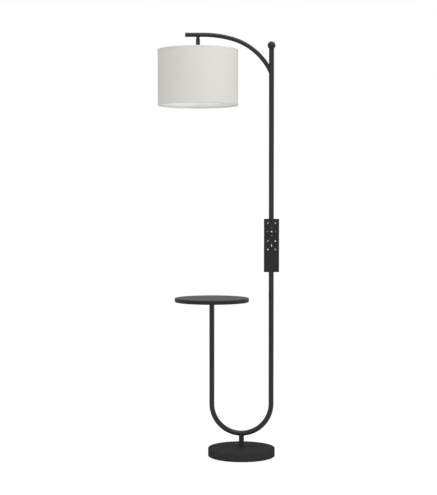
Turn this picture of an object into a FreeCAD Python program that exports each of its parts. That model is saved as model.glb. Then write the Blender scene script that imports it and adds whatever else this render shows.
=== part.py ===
import FreeCAD
import Part
import math
import os

# Floor lamp with a round side table.  Millimetres, +Z up.  The origin is on the floor under
# the middle of the round base, +X points to the tall pole and -Y to the front.

# ---- overall sizes -----------------------------------------------------------------------
LAMP_HEIGHT = 1580.5            # floor to the top of the arm
LEG_SPACING = 222.0             # between the axes of the two legs of the U
POLE_DIAMETER = 19.0
POLE_WALL = 1.2
FIT = 0.3                       # clearance between moving pieces and what they move in
OVERCUT = 1.0                   # how far a cutting shape reaches past what it cuts

# ---- base --------------------------------------------------------------------------------
BASE_DIAMETER = 250.0
BASE_HEIGHT = 31.0
BASE_EDGE_RADIUS = 2.0
COVER_WALL = 1.2
COVER_LEAST_RADIUS = 0.5        # inside the cover's edge
RIM_GAP = 1.5                   # floor to the lower rim of the pressed cover
PAD_THICKNESS = 2.0
PAD_MARGIN = 2.5                # the pad is this much smaller in radius than the cover
PLATE_THICKNESS = 1.0
WEIGHT_THICKNESS = 16.0
WEIGHT_MARGIN = 4.0             # between the weight and the inside of the cover
WEIGHT_BOSS_DIAMETER = 70.0
RECESS_DIAMETER = 44.0          # hollow under the weight for the nut
RECESS_DEPTH = 12.0
CORD_CHANNEL_WIDTH = 14.0
PLATE_SCREW_CIRCLE = 190.0
PLATE_SCREW_COUNT = 4
PLATE_SCREW_DIAMETER = 4.0
PLATE_SCREW_LENGTH = 10.0
BUSHING_BORE = 6.5
BUSHING_BARREL = 9.6
BUSHING_FLANGE = 13.0
BUSHING_FLANGE_THICKNESS = 1.6
BUSHING_LIP_DIAMETER = 11.6
BUSHING_LIP_THICKNESS = 1.2
BUSHING_PLAY = 0.4              # between the lip and the inside of the cover

# ---- neck and its fastening --------------------------------------------------------------
NECK_LENGTH = 44.5              # top of the base to the underside of the U
NIPPLE_DIAMETER = 10.0
NIPPLE_BORE = 7.0
PLUG_LENGTH = 16.0              # turned plugs pressed into the ends of the tubes
WASHER_DIAMETER = 32.0
WASHER_THICKNESS = 2.0
NUT_WIDTH = 17.0
NUT_THICKNESS = 5.0
NIPPLE_END = 1.0                # length of nipple below the nut

# ---- side table --------------------------------------------------------------------------
TABLE_DIAMETER = 278.0
TABLE_THICKNESS = 15.0
TABLE_HEIGHT = 593.5            # floor to the top face
TABLE_EDGE_RADIUS = 2.5
TABLE_FLANGE_DIAMETER = 80.0
TABLE_FLANGE_THICKNESS = 3.0
TABLE_SPIGOT_LENGTH = 20.0      # of the flange, pressed into the leg
TABLE_SPIGOT_WALL = 2.5
TABLE_SCREW_CIRCLE = 60.0
TABLE_SCREW_COUNT = 4
TABLE_SCREW_DIAMETER = 4.0
TABLE_SCREW_HEAD_DIAMETER = 8.0
TABLE_SCREW_HEAD_HEIGHT = 2.2
TABLE_SCREW_DEPTH = 9.0

# ---- pole --------------------------------------------------------------------------------
POLE_JOINT_HEIGHT = 790.0       # where the upper pole screws onto the U
JOINT_PLUG_LENGTH = 24.0
JOINT_THREAD_DIAMETER = 12.0
JOINT_THREAD_LENGTH = 20.0
JOINT_BORE = 8.0
FINIAL_DIAMETER = 30.0
FINIAL_DROP = 32.0              # top of the arm to the top of the ball
FINIAL_STUD_DIAMETER = 6.0
FINIAL_STUD_LENGTH = 12.0

# ---- arm ---------------------------------------------------------------------------------
ARM_DIAMETER = 16.0
ARM_WALL = 1.2
ARM_TIP_REACH = 321.0           # pole axis to the free tip
ARM_BEND_REACH = 253.0          # pole axis to where the straight stretch ends
ARM_UPPER_RADIUS = 390.0
ARM_UPPER_SWEEP = 16.2          # degrees of the wide first bend
ARM_ENTRY_SLOPE = 67.5          # degrees below level where the arm meets the pole axis
ARM_CAP_THICKNESS = 1.5
ARM_CAP_SPIGOT = 9.0

# ---- stem and lamp holder ----------------------------------------------------------------
STEM_REACH = 273.4              # pole axis to the stem and shade axis
STEM_BOSS_DIAMETER = 13.0
STEM_BOSS_LENGTH = 7.5          # below the underside of the arm
STEM_NIPPLE_END = 1.0           # length of nipple inside the arm
SLEEVE_DIAMETER = 15.0
HOLDER_CAP_HEIGHT = 20.0
HOLDER_CAP_TOP_DIAMETER = 19.0
HOLDER_CAP_COLLAR = 3.0         # straight stretches at the cap's top and at its foot
HOLDER_BODY_DIAMETER = 43.0
HOLDER_BODY_HEIGHT = 14.0       # above the shoulder that the spider hangs under
HOLDER_WALL = 2.0
SKIRT_DIAMETER = 40.0
SKIRT_LENGTH = 26.0
SKIRT_BORE = 31.0
CORE_HEIGHT = 8.0
CORE_WIRE_HOLE = 3.0
TONGUE_WIDTH = 4.0
TONGUE_THICKNESS = 1.0
SCREW_SHELL_WALL = 0.6
SCREW_SHELL_LENGTH = 25.0
CLAMP_RING_DIAMETER = 56.0
CLAMP_RING_HEIGHT = 7.0

# ---- shade -------------------------------------------------------------------------------
SHADE_DIAMETER = 300.0
SHADE_HEIGHT = 206.5
SHADE_DROP = 63.5               # top of the arm to the top rim of the shade
SHADE_WALL = 0.9
TRIM_THICKNESS = 0.4
TRIM_HEIGHT = 6.0
HOOP_WIRE = 3.5
SPIDER_DROP = 25.0              # top rim of the shade to the spider's centre ring
SPIDER_RING_THICKNESS = 1.2
SPIDER_ARM_COUNT = 3
SPIDER_ARM_START = 24.0         # stem axis to where each wire starts on the ring
SPIDER_ARM_SINK = 0.3           # how deep the wires are welded into the ring
TRIM_SLIT_GAP = 0.2             # between a wire and its slit in the upper trim

# ---- bulb --------------------------------------------------------------------------------
BULB_LENGTH = 110.0
BULB_DIAMETER = 60.0
BULB_CAP_DIAMETER = 26.4
BULB_CAP_LENGTH = 24.0
BULB_CAP_WALL = 0.5
BULB_TIP_DIAMETER = 9.0
BULB_TIP_FOOT = 20.4            # diameter of the insulator round the tip, at its foot
BULB_TIP_HEIGHT = 2.0
BULB_BODY_LENGTH = 42.0
BULB_BODY_WALL = 1.5
BULB_GLOBE_WALL = 1.2
BULB_FLARE = 2.2                # how far the collar's side curves in from a straight cone
BULB_SEAM = 0.5                 # step from the globe in to the collar

# ---- remote control and its holder -------------------------------------------------------
REMOTE_WIDTH = 56.0
REMOTE_LENGTH = 198.0
REMOTE_DEPTH = 16.0
REMOTE_CENTRE_HEIGHT = 790.8
REMOTE_EDGE_RADIUS = 0.9
REMOTE_WALL = 1.6
REMOTE_FRONT_DEPTH = 9.3        # depth of the front shell, face to parting line
HOLDER_PAD_WIDTH = 34.0
HOLDER_PAD_LENGTH = 56.0
HOLDER_PAD_THICKNESS = 3.5      # in front of the pole
HOLDER_PAD_RISE = 24.0          # middle of the pad above the middle of the remote
CLIP_WALL = 3.0
CLIP_PAD_GAP = 0.1              # between the pole and the ends of the pad's back
CLIP_HEIGHT = 36.0
CLIP_MOUTH = 80.0               # degrees of the pole left open at the back
MAGNET_DIAMETER = 12.0
MAGNET_THICKNESS = 2.0
MAGNET_SPACING = 34.0
STRIKE_WIDTH = 26.0
STRIKE_LENGTH = 50.0
STRIKE_THICKNESS = 0.8

KEY_DIAMETER = 12.0
KEY_PROUD = 0.5                 # how far a key stands out of the front face
KEY_LIP = 0.6                   # retaining lip round the foot of each key
KEY_LIP_THICKNESS = 1.0
KEY_LIP_GAP = 0.1               # between the lip and the inside of the front face
PAD_RING_INNER_RADIUS = 9.5     # the four direction keys lie in this ring
PAD_RING_OUTER_RADIUS = 21.0
PAD_RING_GAP = 2.4
KEY_SIDE_MARGIN = 14.4          # side of the remote to the middle of the round keys
LEVEL_KEY_WIDTH = 10.0
LEVEL_KEY_LENGTH = 22.0
TOP_ROW = 15.8                  # distances down from the top end of the remote
DIRECTION_ROW = 47.3
UPPER_ROW = 82.5
LEVEL_ROW = 99.0
LOWER_ROW = 113.7
RIB_ROWS = (6.5, 24.2, 72.0, 123.0)
RIB_WIDTH = 1.2
RIB_DEPTH = 2.1
MEMBRANE_THICKNESS = 0.8
BOARD_THICKNESS = 1.2
BOARD_MARGIN = 5.0              # top end of the remote to the board
BOARD_LENGTH = 121.0
BOARD_POST_DIAMETER = 3.5
BOARD_POST_SPACING = 34.0
BOARD_POST_INSET = 14.0

CELL_DIAMETER = 10.3
CELL_LENGTH = 43.5
CELL_NUB_DIAMETER = 3.8
CELL_NUB_HEIGHT = 0.8
CELL_PITCH = 10.9
CONTACT_THICKNESS = 0.5
CONTACT_SPRING = 2.4
CONTACT_WIDTH = 7.0
BAY_WALL = 1.2
BAY_MARGIN = 5.6                # lower end of the remote to the inside of the battery bay
DOOR_WIDTH = 32.0
DOOR_TONGUE = 1.5               # how far the hidden layer of the door reaches under the shell
DOOR_CLEARANCE = 0.25
DOOR_MARGIN = 2.0               # how far the door reaches past the battery bay's wall
DOOR_GRIP_COUNT = 5
DOOR_GRIP_LENGTH = 14.0
DOOR_GRIP_WIDTH = 1.0
DOOR_GRIP_DEPTH = 0.4
DOOR_GRIP_PITCH = 3.0
DOOR_GRIP_TOP = 5.0             # top of the door to the first groove

REMOTE_SCREW_ROWS = (9.0, 133.0)
REMOTE_SCREW_DIAMETER = 2.0
REMOTE_SCREW_HEAD = 4.2
REMOTE_SCREW_HEAD_HEIGHT = 1.4
REMOTE_SCREW_RECESS = 2.6       # back face of the remote to the seat of the screw head
REMOTE_SCREW_BITE = 5.0         # length of thread in the front shell's post
REMOTE_POST_DIAMETER = 4.8
REMOTE_POST_MARGIN = 0.6        # between a screw post and the side wall
BOARD_POST_GAP = 1.0            # between a screw post and the edge of the circuit board
RIB_MARGIN = 1.0                # the ribs end this far inside the edges of the circuit board

# ---- places worked out from the sizes ----------------------------------------------------
POLE_RADIUS = POLE_DIAMETER / 2
POLE_BORE = POLE_DIAMETER - 2 * POLE_WALL
POLE_X = LEG_SPACING / 2
TABLE_X = -LEG_SPACING / 2
BEND_RADIUS = LEG_SPACING / 2
BEND_CENTRE_Z = BASE_HEIGHT + NECK_LENGTH + POLE_RADIUS + BEND_RADIUS
U_BOTTOM_Z = BEND_CENTRE_Z - BEND_RADIUS
TABLE_UNDERSIDE = TABLE_HEIGHT - TABLE_THICKNESS
LEG_TOP = TABLE_UNDERSIDE - TABLE_FLANGE_THICKNESS

COVER_BORE = BASE_DIAMETER - 2 * COVER_WALL
COVER_UNDERSIDE = BASE_HEIGHT - COVER_WALL
PLATE_TOP = PAD_THICKNESS + PLATE_THICKNESS
RECESS_TOP = PLATE_TOP + RECESS_DEPTH
BUSHING_Z = PLATE_TOP + RECESS_DEPTH / 2
NUT_TOP = RECESS_TOP - WASHER_THICKNESS
NIPPLE_LOW = NUT_TOP - NUT_THICKNESS - NIPPLE_END

ARM_AXIS_Z = LAMP_HEIGHT - ARM_DIAMETER / 2
ARM_BORE = ARM_DIAMETER - 2 * ARM_WALL
ARM_UNDERSIDE = ARM_AXIS_Z - ARM_DIAMETER / 2
ARM_TIP_X = POLE_X - ARM_TIP_REACH
STEM_X = POLE_X - STEM_REACH
FINIAL_CENTRE_Z = LAMP_HEIGHT - FINIAL_DROP - FINIAL_DIAMETER / 2
POLE_TOP = FINIAL_CENTRE_Z - math.sqrt((FINIAL_DIAMETER / 2) ** 2 - POLE_RADIUS ** 2)

SHADE_TOP = LAMP_HEIGHT - SHADE_DROP
SHADE_BOTTOM = SHADE_TOP - SHADE_HEIGHT
SHOULDER_Z = SHADE_TOP - SPIDER_DROP
HOLDER_BODY_TOP = SHOULDER_Z + HOLDER_BODY_HEIGHT
HOLDER_CAP_TOP = HOLDER_BODY_TOP + HOLDER_CAP_HEIGHT
STEM_BOSS_LOW = ARM_UNDERSIDE - STEM_BOSS_LENGTH
CORE_LOW = HOLDER_BODY_TOP - CORE_HEIGHT
DRUM_RADIUS = SHADE_DIAMETER / 2 - TRIM_THICKNESS
HOOP_RADIUS = DRUM_RADIUS - SHADE_WALL - HOOP_WIRE / 2
HOOP_INSET = TRIM_THICKNESS + HOOP_WIRE / 2
TRIM_INNER_RADIUS = HOOP_RADIUS - HOOP_WIRE / 2 - TRIM_THICKNESS

CENTRE_CONTACT_Z = CORE_LOW - TONGUE_THICKNESS
BULB_TOP = CENTRE_CONTACT_Z - FIT
BULB_CAP_LOW = BULB_TOP - BULB_TIP_HEIGHT - BULB_CAP_LENGTH
BULB_BODY_LOW = BULB_CAP_LOW - BULB_BODY_LENGTH
BULB_LOW = BULB_TOP - BULB_LENGTH

REMOTE_BACK = -(POLE_RADIUS + HOLDER_PAD_THICKNESS + FIT)
REMOTE_FRONT = REMOTE_BACK - REMOTE_DEPTH
REMOTE_TOP = REMOTE_CENTRE_HEIGHT + REMOTE_LENGTH / 2
REMOTE_LOW = REMOTE_CENTRE_HEIGHT - REMOTE_LENGTH / 2
REMOTE_SCREW_COLUMN = REMOTE_WIDTH / 2 - REMOTE_WALL - REMOTE_POST_MARGIN - REMOTE_POST_DIAMETER / 2
SCREW_SEAT = REMOTE_BACK - REMOTE_SCREW_RECESS
KEY_PITCH = REMOTE_WIDTH - 2 * KEY_SIDE_MARGIN
PART_LINE = REMOTE_FRONT + REMOTE_FRONT_DEPTH
FRONT_INSIDE = REMOTE_FRONT + REMOTE_WALL
BACK_INSIDE = REMOTE_BACK - REMOTE_WALL
MEMBRANE_FRONT = FRONT_INSIDE + RIB_DEPTH
BOARD_FRONT = MEMBRANE_FRONT + MEMBRANE_THICKNESS
BOARD_BACK = BOARD_FRONT + BOARD_THICKNESS
BOARD_WIDTH = 2 * (REMOTE_SCREW_COLUMN - REMOTE_POST_DIAMETER / 2 - BOARD_POST_GAP)
RIB_LENGTH = BOARD_WIDTH - 2 * RIB_MARGIN
BOARD_TOP = REMOTE_TOP - BOARD_MARGIN
BOARD_LOW = BOARD_TOP - BOARD_LENGTH
PAD_CENTRE_Z = REMOTE_CENTRE_HEIGHT + HOLDER_PAD_RISE
PAD_FRONT = -(POLE_RADIUS + HOLDER_PAD_THICKNESS)
CELL_Y = BACK_INSIDE - FIT - CELL_DIAMETER / 2
BAY_FLOOR = CELL_Y - CELL_DIAMETER / 2 - DOOR_CLEARANCE
BAY_HALF_WIDTH = CELL_PITCH / 2 + CELL_DIAMETER / 2 + DOOR_CLEARANCE
BAY_LOW = REMOTE_LOW + BAY_MARGIN
BAY_TOP = BAY_LOW + CONTACT_SPRING + CELL_LENGTH + CELL_NUB_HEIGHT + CONTACT_THICKNESS
DOOR_TOP = BAY_TOP + BAY_WALL + DOOR_MARGIN
DOOR_LAYER = REMOTE_WALL / 2

UP = FreeCAD.Vector(0, 0, 1)
BACK = FreeCAD.Vector(0, 1, 0)


# ---- shape helpers -----------------------------------------------------------------------
def point(x, y, z):
    return FreeCAD.Vector(x, y, z)


def rod(diameter, low, high, x=0.0, y=0.0):
    """Upright cylinder between two heights."""
    return Part.makeCylinder(diameter / 2, high - low, point(x, y, low), UP)


def pipe(outer, bore, low, high, x=0.0, y=0.0):
    """Upright tube or ring."""
    return rod(outer, low, high, x, y).cut(rod(bore, low, high, x, y))


def frustum(low_diameter, high_diameter, low, high, x=0.0, y=0.0):
    return Part.makeCone(low_diameter / 2, high_diameter / 2, high - low, point(x, y, low), UP)


def pin(diameter, front, back, x, z):
    """Cylinder that runs from the front to the back."""
    return Part.makeCylinder(diameter / 2, back - front, point(x, front, z), BACK)


def block(x_range, y_range, z_range):
    corner = point(x_range[0], y_range[0], z_range[0])
    size = [high - low for low, high in (x_range, y_range, z_range)]
    return Part.makeBox(size[0], size[1], size[2], corner)


def fuse_all(shapes):
    return shapes[0].multiFuse(shapes[1:]).removeSplitter()


def turned(outline, x=0.0):
    """Solid of revolution about the upright line at x, from (radius, height) points."""
    corners = [point(radius, 0, height) for radius, height in outline]
    face = Part.Face(Part.makePolygon(corners + corners[:1]))
    solid = face.revolve(point(0, 0, 0), UP, 360)
    solid.translate(point(x, 0, 0))
    return solid


def turned_wire(path, x=0.0):
    """Solid of revolution about the upright line at x, from a closed path of (radius, height)
    points; a pair of points in the path is the middle and the end of an arc."""
    edges = []
    start = path[0]
    for step in path[1:] + path[:1]:
        if isinstance(step[0], tuple):
            middle, end = step
            edges.append(Part.Arc(*[point(r, 0, z) for r, z in (start, middle, end)]).toShape())
        else:
            end = step
            edges.append(Part.makeLine(point(start[0], 0, start[1]), point(end[0], 0, end[1])))
        start = end
    solid = Part.Face(Part.Wire(edges)).revolve(point(0, 0, 0), UP, 360)
    solid.translate(point(x, 0, 0))
    return solid


def round_edges(shape, radius, wanted):
    """Fillet the edges for which wanted(edge) is true."""
    return shape.makeFillet(radius, [edge for edge in shape.Edges if wanted(edge)])


def level_edge(height):
    """Test for an edge that lies flat at one height."""
    def wanted(edge):
        box = edge.BoundBox
        return abs(box.ZMin - height) < 0.01 and abs(box.ZMax - height) < 0.01
    return wanted


def swept(path, diameter):
    """Round bar along a path of tangent lines and arcs."""
    start = path[0].valueAt(path[0].FirstParameter)
    direction = path[0].tangentAt(path[0].FirstParameter)
    circle = Part.makeCircle(diameter / 2, start, direction)
    return Part.Wire(path).makePipe(Part.Face(Part.Wire(circle)))


def around(count, first_angle=0.0):
    """Directions, in radians, of pieces spaced evenly round a circle."""
    return [math.radians(first_angle + 360.0 / count * index) for index in range(count)]


# ---- base --------------------------------------------------------------------------------
def plate_screw_places():
    radius = PLATE_SCREW_CIRCLE / 2
    return [(radius * math.cos(a), radius * math.sin(a)) for a in around(PLATE_SCREW_COUNT, 45)]


def plate_screws():
    """Countersunk screws whose heads lie flush under the plate."""
    head_height = PLATE_SCREW_DIAMETER / 2
    screws = []
    for x, y in plate_screw_places():
        head_top = PAD_THICKNESS + head_height
        head = frustum(2 * PLATE_SCREW_DIAMETER, PLATE_SCREW_DIAMETER, PAD_THICKNESS, head_top, x, y)
        shank = rod(PLATE_SCREW_DIAMETER, head_top, head_top + PLATE_SCREW_LENGTH, x, y)
        screws.append(head.fuse(shank).removeSplitter())
    return Part.makeCompound(screws)


def base_cover():
    """Pressed steel cover, open underneath."""
    outside = rod(BASE_DIAMETER, RIM_GAP, BASE_HEIGHT)
    outside = round_edges(outside, BASE_EDGE_RADIUS, level_edge(BASE_HEIGHT))
    inside = rod(COVER_BORE, RIM_GAP, COVER_UNDERSIDE)
    inside_radius = max(BASE_EDGE_RADIUS - COVER_WALL, COVER_LEAST_RADIUS)
    inside = round_edges(inside, inside_radius, level_edge(COVER_UNDERSIDE))
    nipple_hole = rod(NIPPLE_DIAMETER, COVER_UNDERSIDE, BASE_HEIGHT)
    bushing_hole = pin(BUSHING_BARREL, 0, BASE_DIAMETER, 0, BUSHING_Z)
    return outside.cut(inside).cut(nipple_hole).cut(bushing_hole)


def base_weight():
    """Cast disc whose middle boss carries the cover and hides the nut."""
    radius = COVER_BORE / 2 - WEIGHT_MARGIN
    disc = rod(2 * radius, PLATE_TOP, PLATE_TOP + WEIGHT_THICKNESS)
    boss = rod(WEIGHT_BOSS_DIAMETER, PLATE_TOP, COVER_UNDERSIDE)
    recess = rod(RECESS_DIAMETER, PLATE_TOP, RECESS_TOP)
    half = CORD_CHANNEL_WIDTH / 2
    channel = block((-half, half), (0, radius + OVERCUT), (PLATE_TOP, RECESS_TOP))
    nipple_hole = rod(NIPPLE_DIAMETER, PLATE_TOP, COVER_UNDERSIDE)
    return disc.fuse(boss).cut(recess).cut(channel).cut(nipple_hole).cut(plate_screws())


def base_plate():
    plate = rod(COVER_BORE - 2 * FIT, PAD_THICKNESS, PLATE_TOP)
    return plate.cut(plate_screws())


def base_pad():
    """Non-slip pad that covers the whole underside."""
    return rod(BASE_DIAMETER - 2 * PAD_MARGIN, 0, PAD_THICKNESS)


def cord_bushing():
    """Bushing where the mains cord enters at the back of the base."""
    wall_inside = COVER_BORE / 2
    wall_outside = BASE_DIAMETER / 2
    flange = pin(BUSHING_FLANGE, wall_outside, wall_outside + BUSHING_FLANGE_THICKNESS, 0, BUSHING_Z)
    barrel_end = wall_inside - BUSHING_PLAY - BUSHING_LIP_THICKNESS
    barrel = pin(BUSHING_BARREL, barrel_end, wall_outside, 0, BUSHING_Z)
    lip = pin(BUSHING_LIP_DIAMETER, barrel_end, barrel_end + BUSHING_LIP_THICKNESS, 0, BUSHING_Z)
    bore = pin(BUSHING_BORE, barrel_end, wall_outside + BUSHING_FLANGE_THICKNESS, 0, BUSHING_Z)
    return fuse_all([flange, barrel, lip]).cut(bore)


def base_washer():
    return pipe(WASHER_DIAMETER, NIPPLE_DIAMETER, RECESS_TOP - WASHER_THICKNESS, RECESS_TOP)


def hexagon(width, low, high):
    corner_radius = width / math.sqrt(3)
    corners = [point(corner_radius * math.cos(a), corner_radius * math.sin(a), low)
               for a in around(6)]
    return Part.Face(Part.makePolygon(corners + corners[:1])).extrude(point(0, 0, high - low))


def base_nut():
    low = NUT_TOP - NUT_THICKNESS
    return hexagon(NUT_WIDTH, low, NUT_TOP).cut(rod(NIPPLE_DIAMETER, low, NUT_TOP))


# ---- neck and U --------------------------------------------------------------------------
def base_nipple():
    """Hollow threaded rod that pulls the neck down onto the base."""
    return pipe(NIPPLE_DIAMETER, NIPPLE_BORE, NIPPLE_LOW, BASE_HEIGHT + PLUG_LENGTH)


def neck_plug():
    return pipe(POLE_BORE, NIPPLE_DIAMETER, BASE_HEIGHT, BASE_HEIGHT + PLUG_LENGTH)


def u_path():
    """Centre line of the U: up one leg, round the half circle and up the other leg."""
    right_low = point(POLE_X, 0, BEND_CENTRE_Z)
    left_low = point(TABLE_X, 0, BEND_CENTRE_Z)
    lowest = point(0, 0, U_BOTTOM_Z)
    left_leg = Part.makeLine(point(TABLE_X, 0, LEG_TOP), left_low)
    bend = Part.Arc(left_low, lowest, right_low).toShape()
    right_leg = Part.makeLine(right_low, point(POLE_X, 0, POLE_JOINT_HEIGHT))
    return [left_leg, bend, right_leg]


def u_tube():
    """Bent tube with a hole at its lowest point for the wiring from the neck."""
    tube = swept(u_path(), POLE_DIAMETER).cut(swept(u_path(), POLE_BORE))
    return tube.cut(rod(NIPPLE_DIAMETER, U_BOTTOM_Z - POLE_RADIUS - OVERCUT, U_BOTTOM_Z))


def base_neck():
    """Short upright tube whose upper end is cut to sit against the U."""
    neck = pipe(POLE_DIAMETER, POLE_BORE, BASE_HEIGHT, U_BOTTOM_Z)
    return neck.cut(swept(u_path(), POLE_DIAMETER))


# ---- side table --------------------------------------------------------------------------
def table_screw_places():
    radius = TABLE_SCREW_CIRCLE / 2
    return [(TABLE_X + radius * math.cos(a), radius * math.sin(a))
            for a in around(TABLE_SCREW_COUNT, 45)]


def table_screws():
    """Pan-head screws up through the flange into the table top."""
    screws = []
    for x, y in table_screw_places():
        head = rod(TABLE_SCREW_HEAD_DIAMETER, LEG_TOP - TABLE_SCREW_HEAD_HEIGHT, LEG_TOP, x, y)
        shank = rod(TABLE_SCREW_DIAMETER, LEG_TOP, TABLE_UNDERSIDE + TABLE_SCREW_DEPTH, x, y)
        screws.append(head.fuse(shank).removeSplitter())
    return Part.makeCompound(screws)


def table_flange():
    """Round flange whose spigot is pressed into the top of the left leg."""
    flange = rod(TABLE_FLANGE_DIAMETER, LEG_TOP, TABLE_UNDERSIDE, TABLE_X)
    spigot = rod(POLE_BORE, LEG_TOP - TABLE_SPIGOT_LENGTH, LEG_TOP, TABLE_X)
    hollow = rod(POLE_BORE - 2 * TABLE_SPIGOT_WALL, LEG_TOP - TABLE_SPIGOT_LENGTH, TABLE_UNDERSIDE, TABLE_X)
    holes = [rod(TABLE_SCREW_DIAMETER, LEG_TOP, TABLE_UNDERSIDE, x, y) for x, y in table_screw_places()]
    return flange.fuse(spigot).removeSplitter().cut(holes + [hollow])


def table_top():
    """Round board with softened edges."""
    board = rod(TABLE_DIAMETER, TABLE_UNDERSIDE, TABLE_HEIGHT, TABLE_X)
    both_rims = [edge for edge in board.Edges
                 if level_edge(TABLE_UNDERSIDE)(edge) or level_edge(TABLE_HEIGHT)(edge)]
    return board.makeFillet(TABLE_EDGE_RADIUS, both_rims).cut(table_screws())


# ---- pole --------------------------------------------------------------------------------
def joint_socket():
    """Plug in the top of the U's right leg, threaded for the stud of the upper pole."""
    low = POLE_JOINT_HEIGHT - JOINT_PLUG_LENGTH
    return pipe(POLE_BORE, JOINT_THREAD_DIAMETER, low, POLE_JOINT_HEIGHT, POLE_X)


def joint_stud():
    """Plug in the foot of the upper pole, with the hollow thread that screws into the U."""
    plug = rod(POLE_BORE, POLE_JOINT_HEIGHT, POLE_JOINT_HEIGHT + JOINT_PLUG_LENGTH, POLE_X)
    thread_low = POLE_JOINT_HEIGHT - JOINT_THREAD_LENGTH
    thread = rod(JOINT_THREAD_DIAMETER, thread_low, POLE_JOINT_HEIGHT, POLE_X)
    bore = rod(JOINT_BORE, thread_low, POLE_JOINT_HEIGHT + JOINT_PLUG_LENGTH, POLE_X)
    return plug.fuse(thread).removeSplitter().cut(bore)


def upper_pole():
    """Straight tube with a hole where the arm opens into it."""
    pole = pipe(POLE_DIAMETER, POLE_BORE, POLE_JOINT_HEIGHT, POLE_TOP, POLE_X)
    return pole.cut(swept(arm_path(), ARM_BORE))


def finial_plug():
    """Plug in the top of the pole with the stud that the ball screws onto."""
    plug = rod(POLE_BORE, POLE_TOP - PLUG_LENGTH, POLE_TOP, POLE_X)
    return plug.fuse(rod(FINIAL_STUD_DIAMETER, POLE_TOP, POLE_TOP + FINIAL_STUD_LENGTH, POLE_X))


def ball_finial():
    """Turned ball with a flat seat as wide as the pole."""
    ball = Part.makeSphere(FINIAL_DIAMETER / 2, point(POLE_X, 0, FINIAL_CENTRE_Z))
    below_seat = rod(FINIAL_DIAMETER, POLE_TOP - FINIAL_DIAMETER, POLE_TOP, POLE_X)
    return ball.cut(below_seat).cut(finial_plug())


# ---- arm ---------------------------------------------------------------------------------
def arm_path(tip_x=ARM_TIP_X + ARM_CAP_THICKNESS):
    """Level stretch from the tip, a wide bend, then a tighter one down to the pole axis."""
    first = math.radians(ARM_UPPER_SWEEP)
    last = math.radians(ARM_ENTRY_SLOPE)
    bend_x = POLE_X - ARM_BEND_REACH
    reach_left = ARM_BEND_REACH - ARM_UPPER_RADIUS * math.sin(first)
    lower_radius = reach_left / (math.sin(last) - math.sin(first))

    def on_upper(angle):
        return point(bend_x + ARM_UPPER_RADIUS * math.sin(angle), 0,
                     ARM_AXIS_Z - ARM_UPPER_RADIUS * (1 - math.cos(angle)))

    change = on_upper(first)

    def on_lower(angle):
        return point(change.x + lower_radius * (math.sin(angle) - math.sin(first)), 0,
                     change.z - lower_radius * (math.cos(first) - math.cos(angle)))

    level = Part.makeLine(point(tip_x, 0, ARM_AXIS_Z), point(bend_x, 0, ARM_AXIS_Z))
    wide = Part.Arc(point(bend_x, 0, ARM_AXIS_Z), on_upper(first / 2), change).toShape()
    tight = Part.Arc(change, on_lower((first + last) / 2), on_lower(last)).toShape()
    return [level, wide, tight]


def arm_tube():
    """Bent tube cut to sit against the pole, with a hole over the stem."""
    tube = swept(arm_path(), ARM_DIAMETER).cut(swept(arm_path(), ARM_BORE))
    pole = rod(POLE_DIAMETER, POLE_JOINT_HEIGHT, POLE_TOP, POLE_X)
    stem_hole = rod(NIPPLE_DIAMETER, ARM_UNDERSIDE - OVERCUT, ARM_AXIS_Z, STEM_X)
    return tube.cut(pole).cut(stem_hole)


def arm_end_cap():
    """Plug that closes the free end of the arm."""
    tip = point(ARM_TIP_X, 0, ARM_AXIS_Z)
    along = point(1, 0, 0)
    head = Part.makeCylinder(ARM_DIAMETER / 2, ARM_CAP_THICKNESS, tip, along)
    head = round_edges(head, ARM_CAP_THICKNESS / 2, lambda edge: edge.BoundBox.XMax < ARM_TIP_X + 0.01)
    spigot = Part.makeCylinder(ARM_BORE / 2, ARM_CAP_THICKNESS + ARM_CAP_SPIGOT, tip, along)
    return head.fuse(spigot).removeSplitter()


# ---- stem and lamp holder ----------------------------------------------------------------
def stem_boss():
    """Threaded boss welded under the arm."""
    boss = pipe(STEM_BOSS_DIAMETER, NIPPLE_DIAMETER, STEM_BOSS_LOW, ARM_AXIS_Z, STEM_X)
    return boss.cut(swept(arm_path(), ARM_DIAMETER))


def stem_nipple():
    """Hollow threaded rod from the arm down into the lamp holder."""
    low = HOLDER_CAP_TOP - HOLDER_CAP_HEIGHT / 2
    return pipe(NIPPLE_DIAMETER, NIPPLE_BORE, low, ARM_UNDERSIDE + ARM_WALL + STEM_NIPPLE_END, STEM_X)


def stem_sleeve():
    return pipe(SLEEVE_DIAMETER, NIPPLE_DIAMETER, HOLDER_CAP_TOP, STEM_BOSS_LOW, STEM_X)


def holder_cap():
    """Domed cap of the lamp holder, threaded for the stem nipple."""
    outer = HOLDER_BODY_DIAMETER / 2
    top = HOLDER_CAP_TOP_DIAMETER / 2
    bore = NIPPLE_DIAMETER / 2
    hub_low = HOLDER_CAP_TOP - HOLDER_CAP_HEIGHT / 2
    dome_low = HOLDER_BODY_TOP + HOLDER_CAP_COLLAR
    dome_high = HOLDER_CAP_TOP - HOLDER_CAP_COLLAR

    def bulge(low, high):
        """Point of a quarter ellipse from low to high, at 45 degrees, so that the dome is full."""
        half = math.sqrt(0.5)
        return (high[0] + (low[0] - high[0]) * half, low[1] + (high[1] - low[1]) * half)

    outside = ((outer, dome_low), (top, dome_high))
    inside = ((outer - HOLDER_WALL, dome_low), (top - HOLDER_WALL, hub_low))
    return turned_wire([(outer, HOLDER_BODY_TOP), outside[0], (bulge(*outside), outside[1]),
                        (top, HOLDER_CAP_TOP), (bore, HOLDER_CAP_TOP), (bore, hub_low),
                        inside[1], (bulge(*inside), inside[0]),
                        (outer - HOLDER_WALL, HOLDER_BODY_TOP)], STEM_X)


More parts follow.
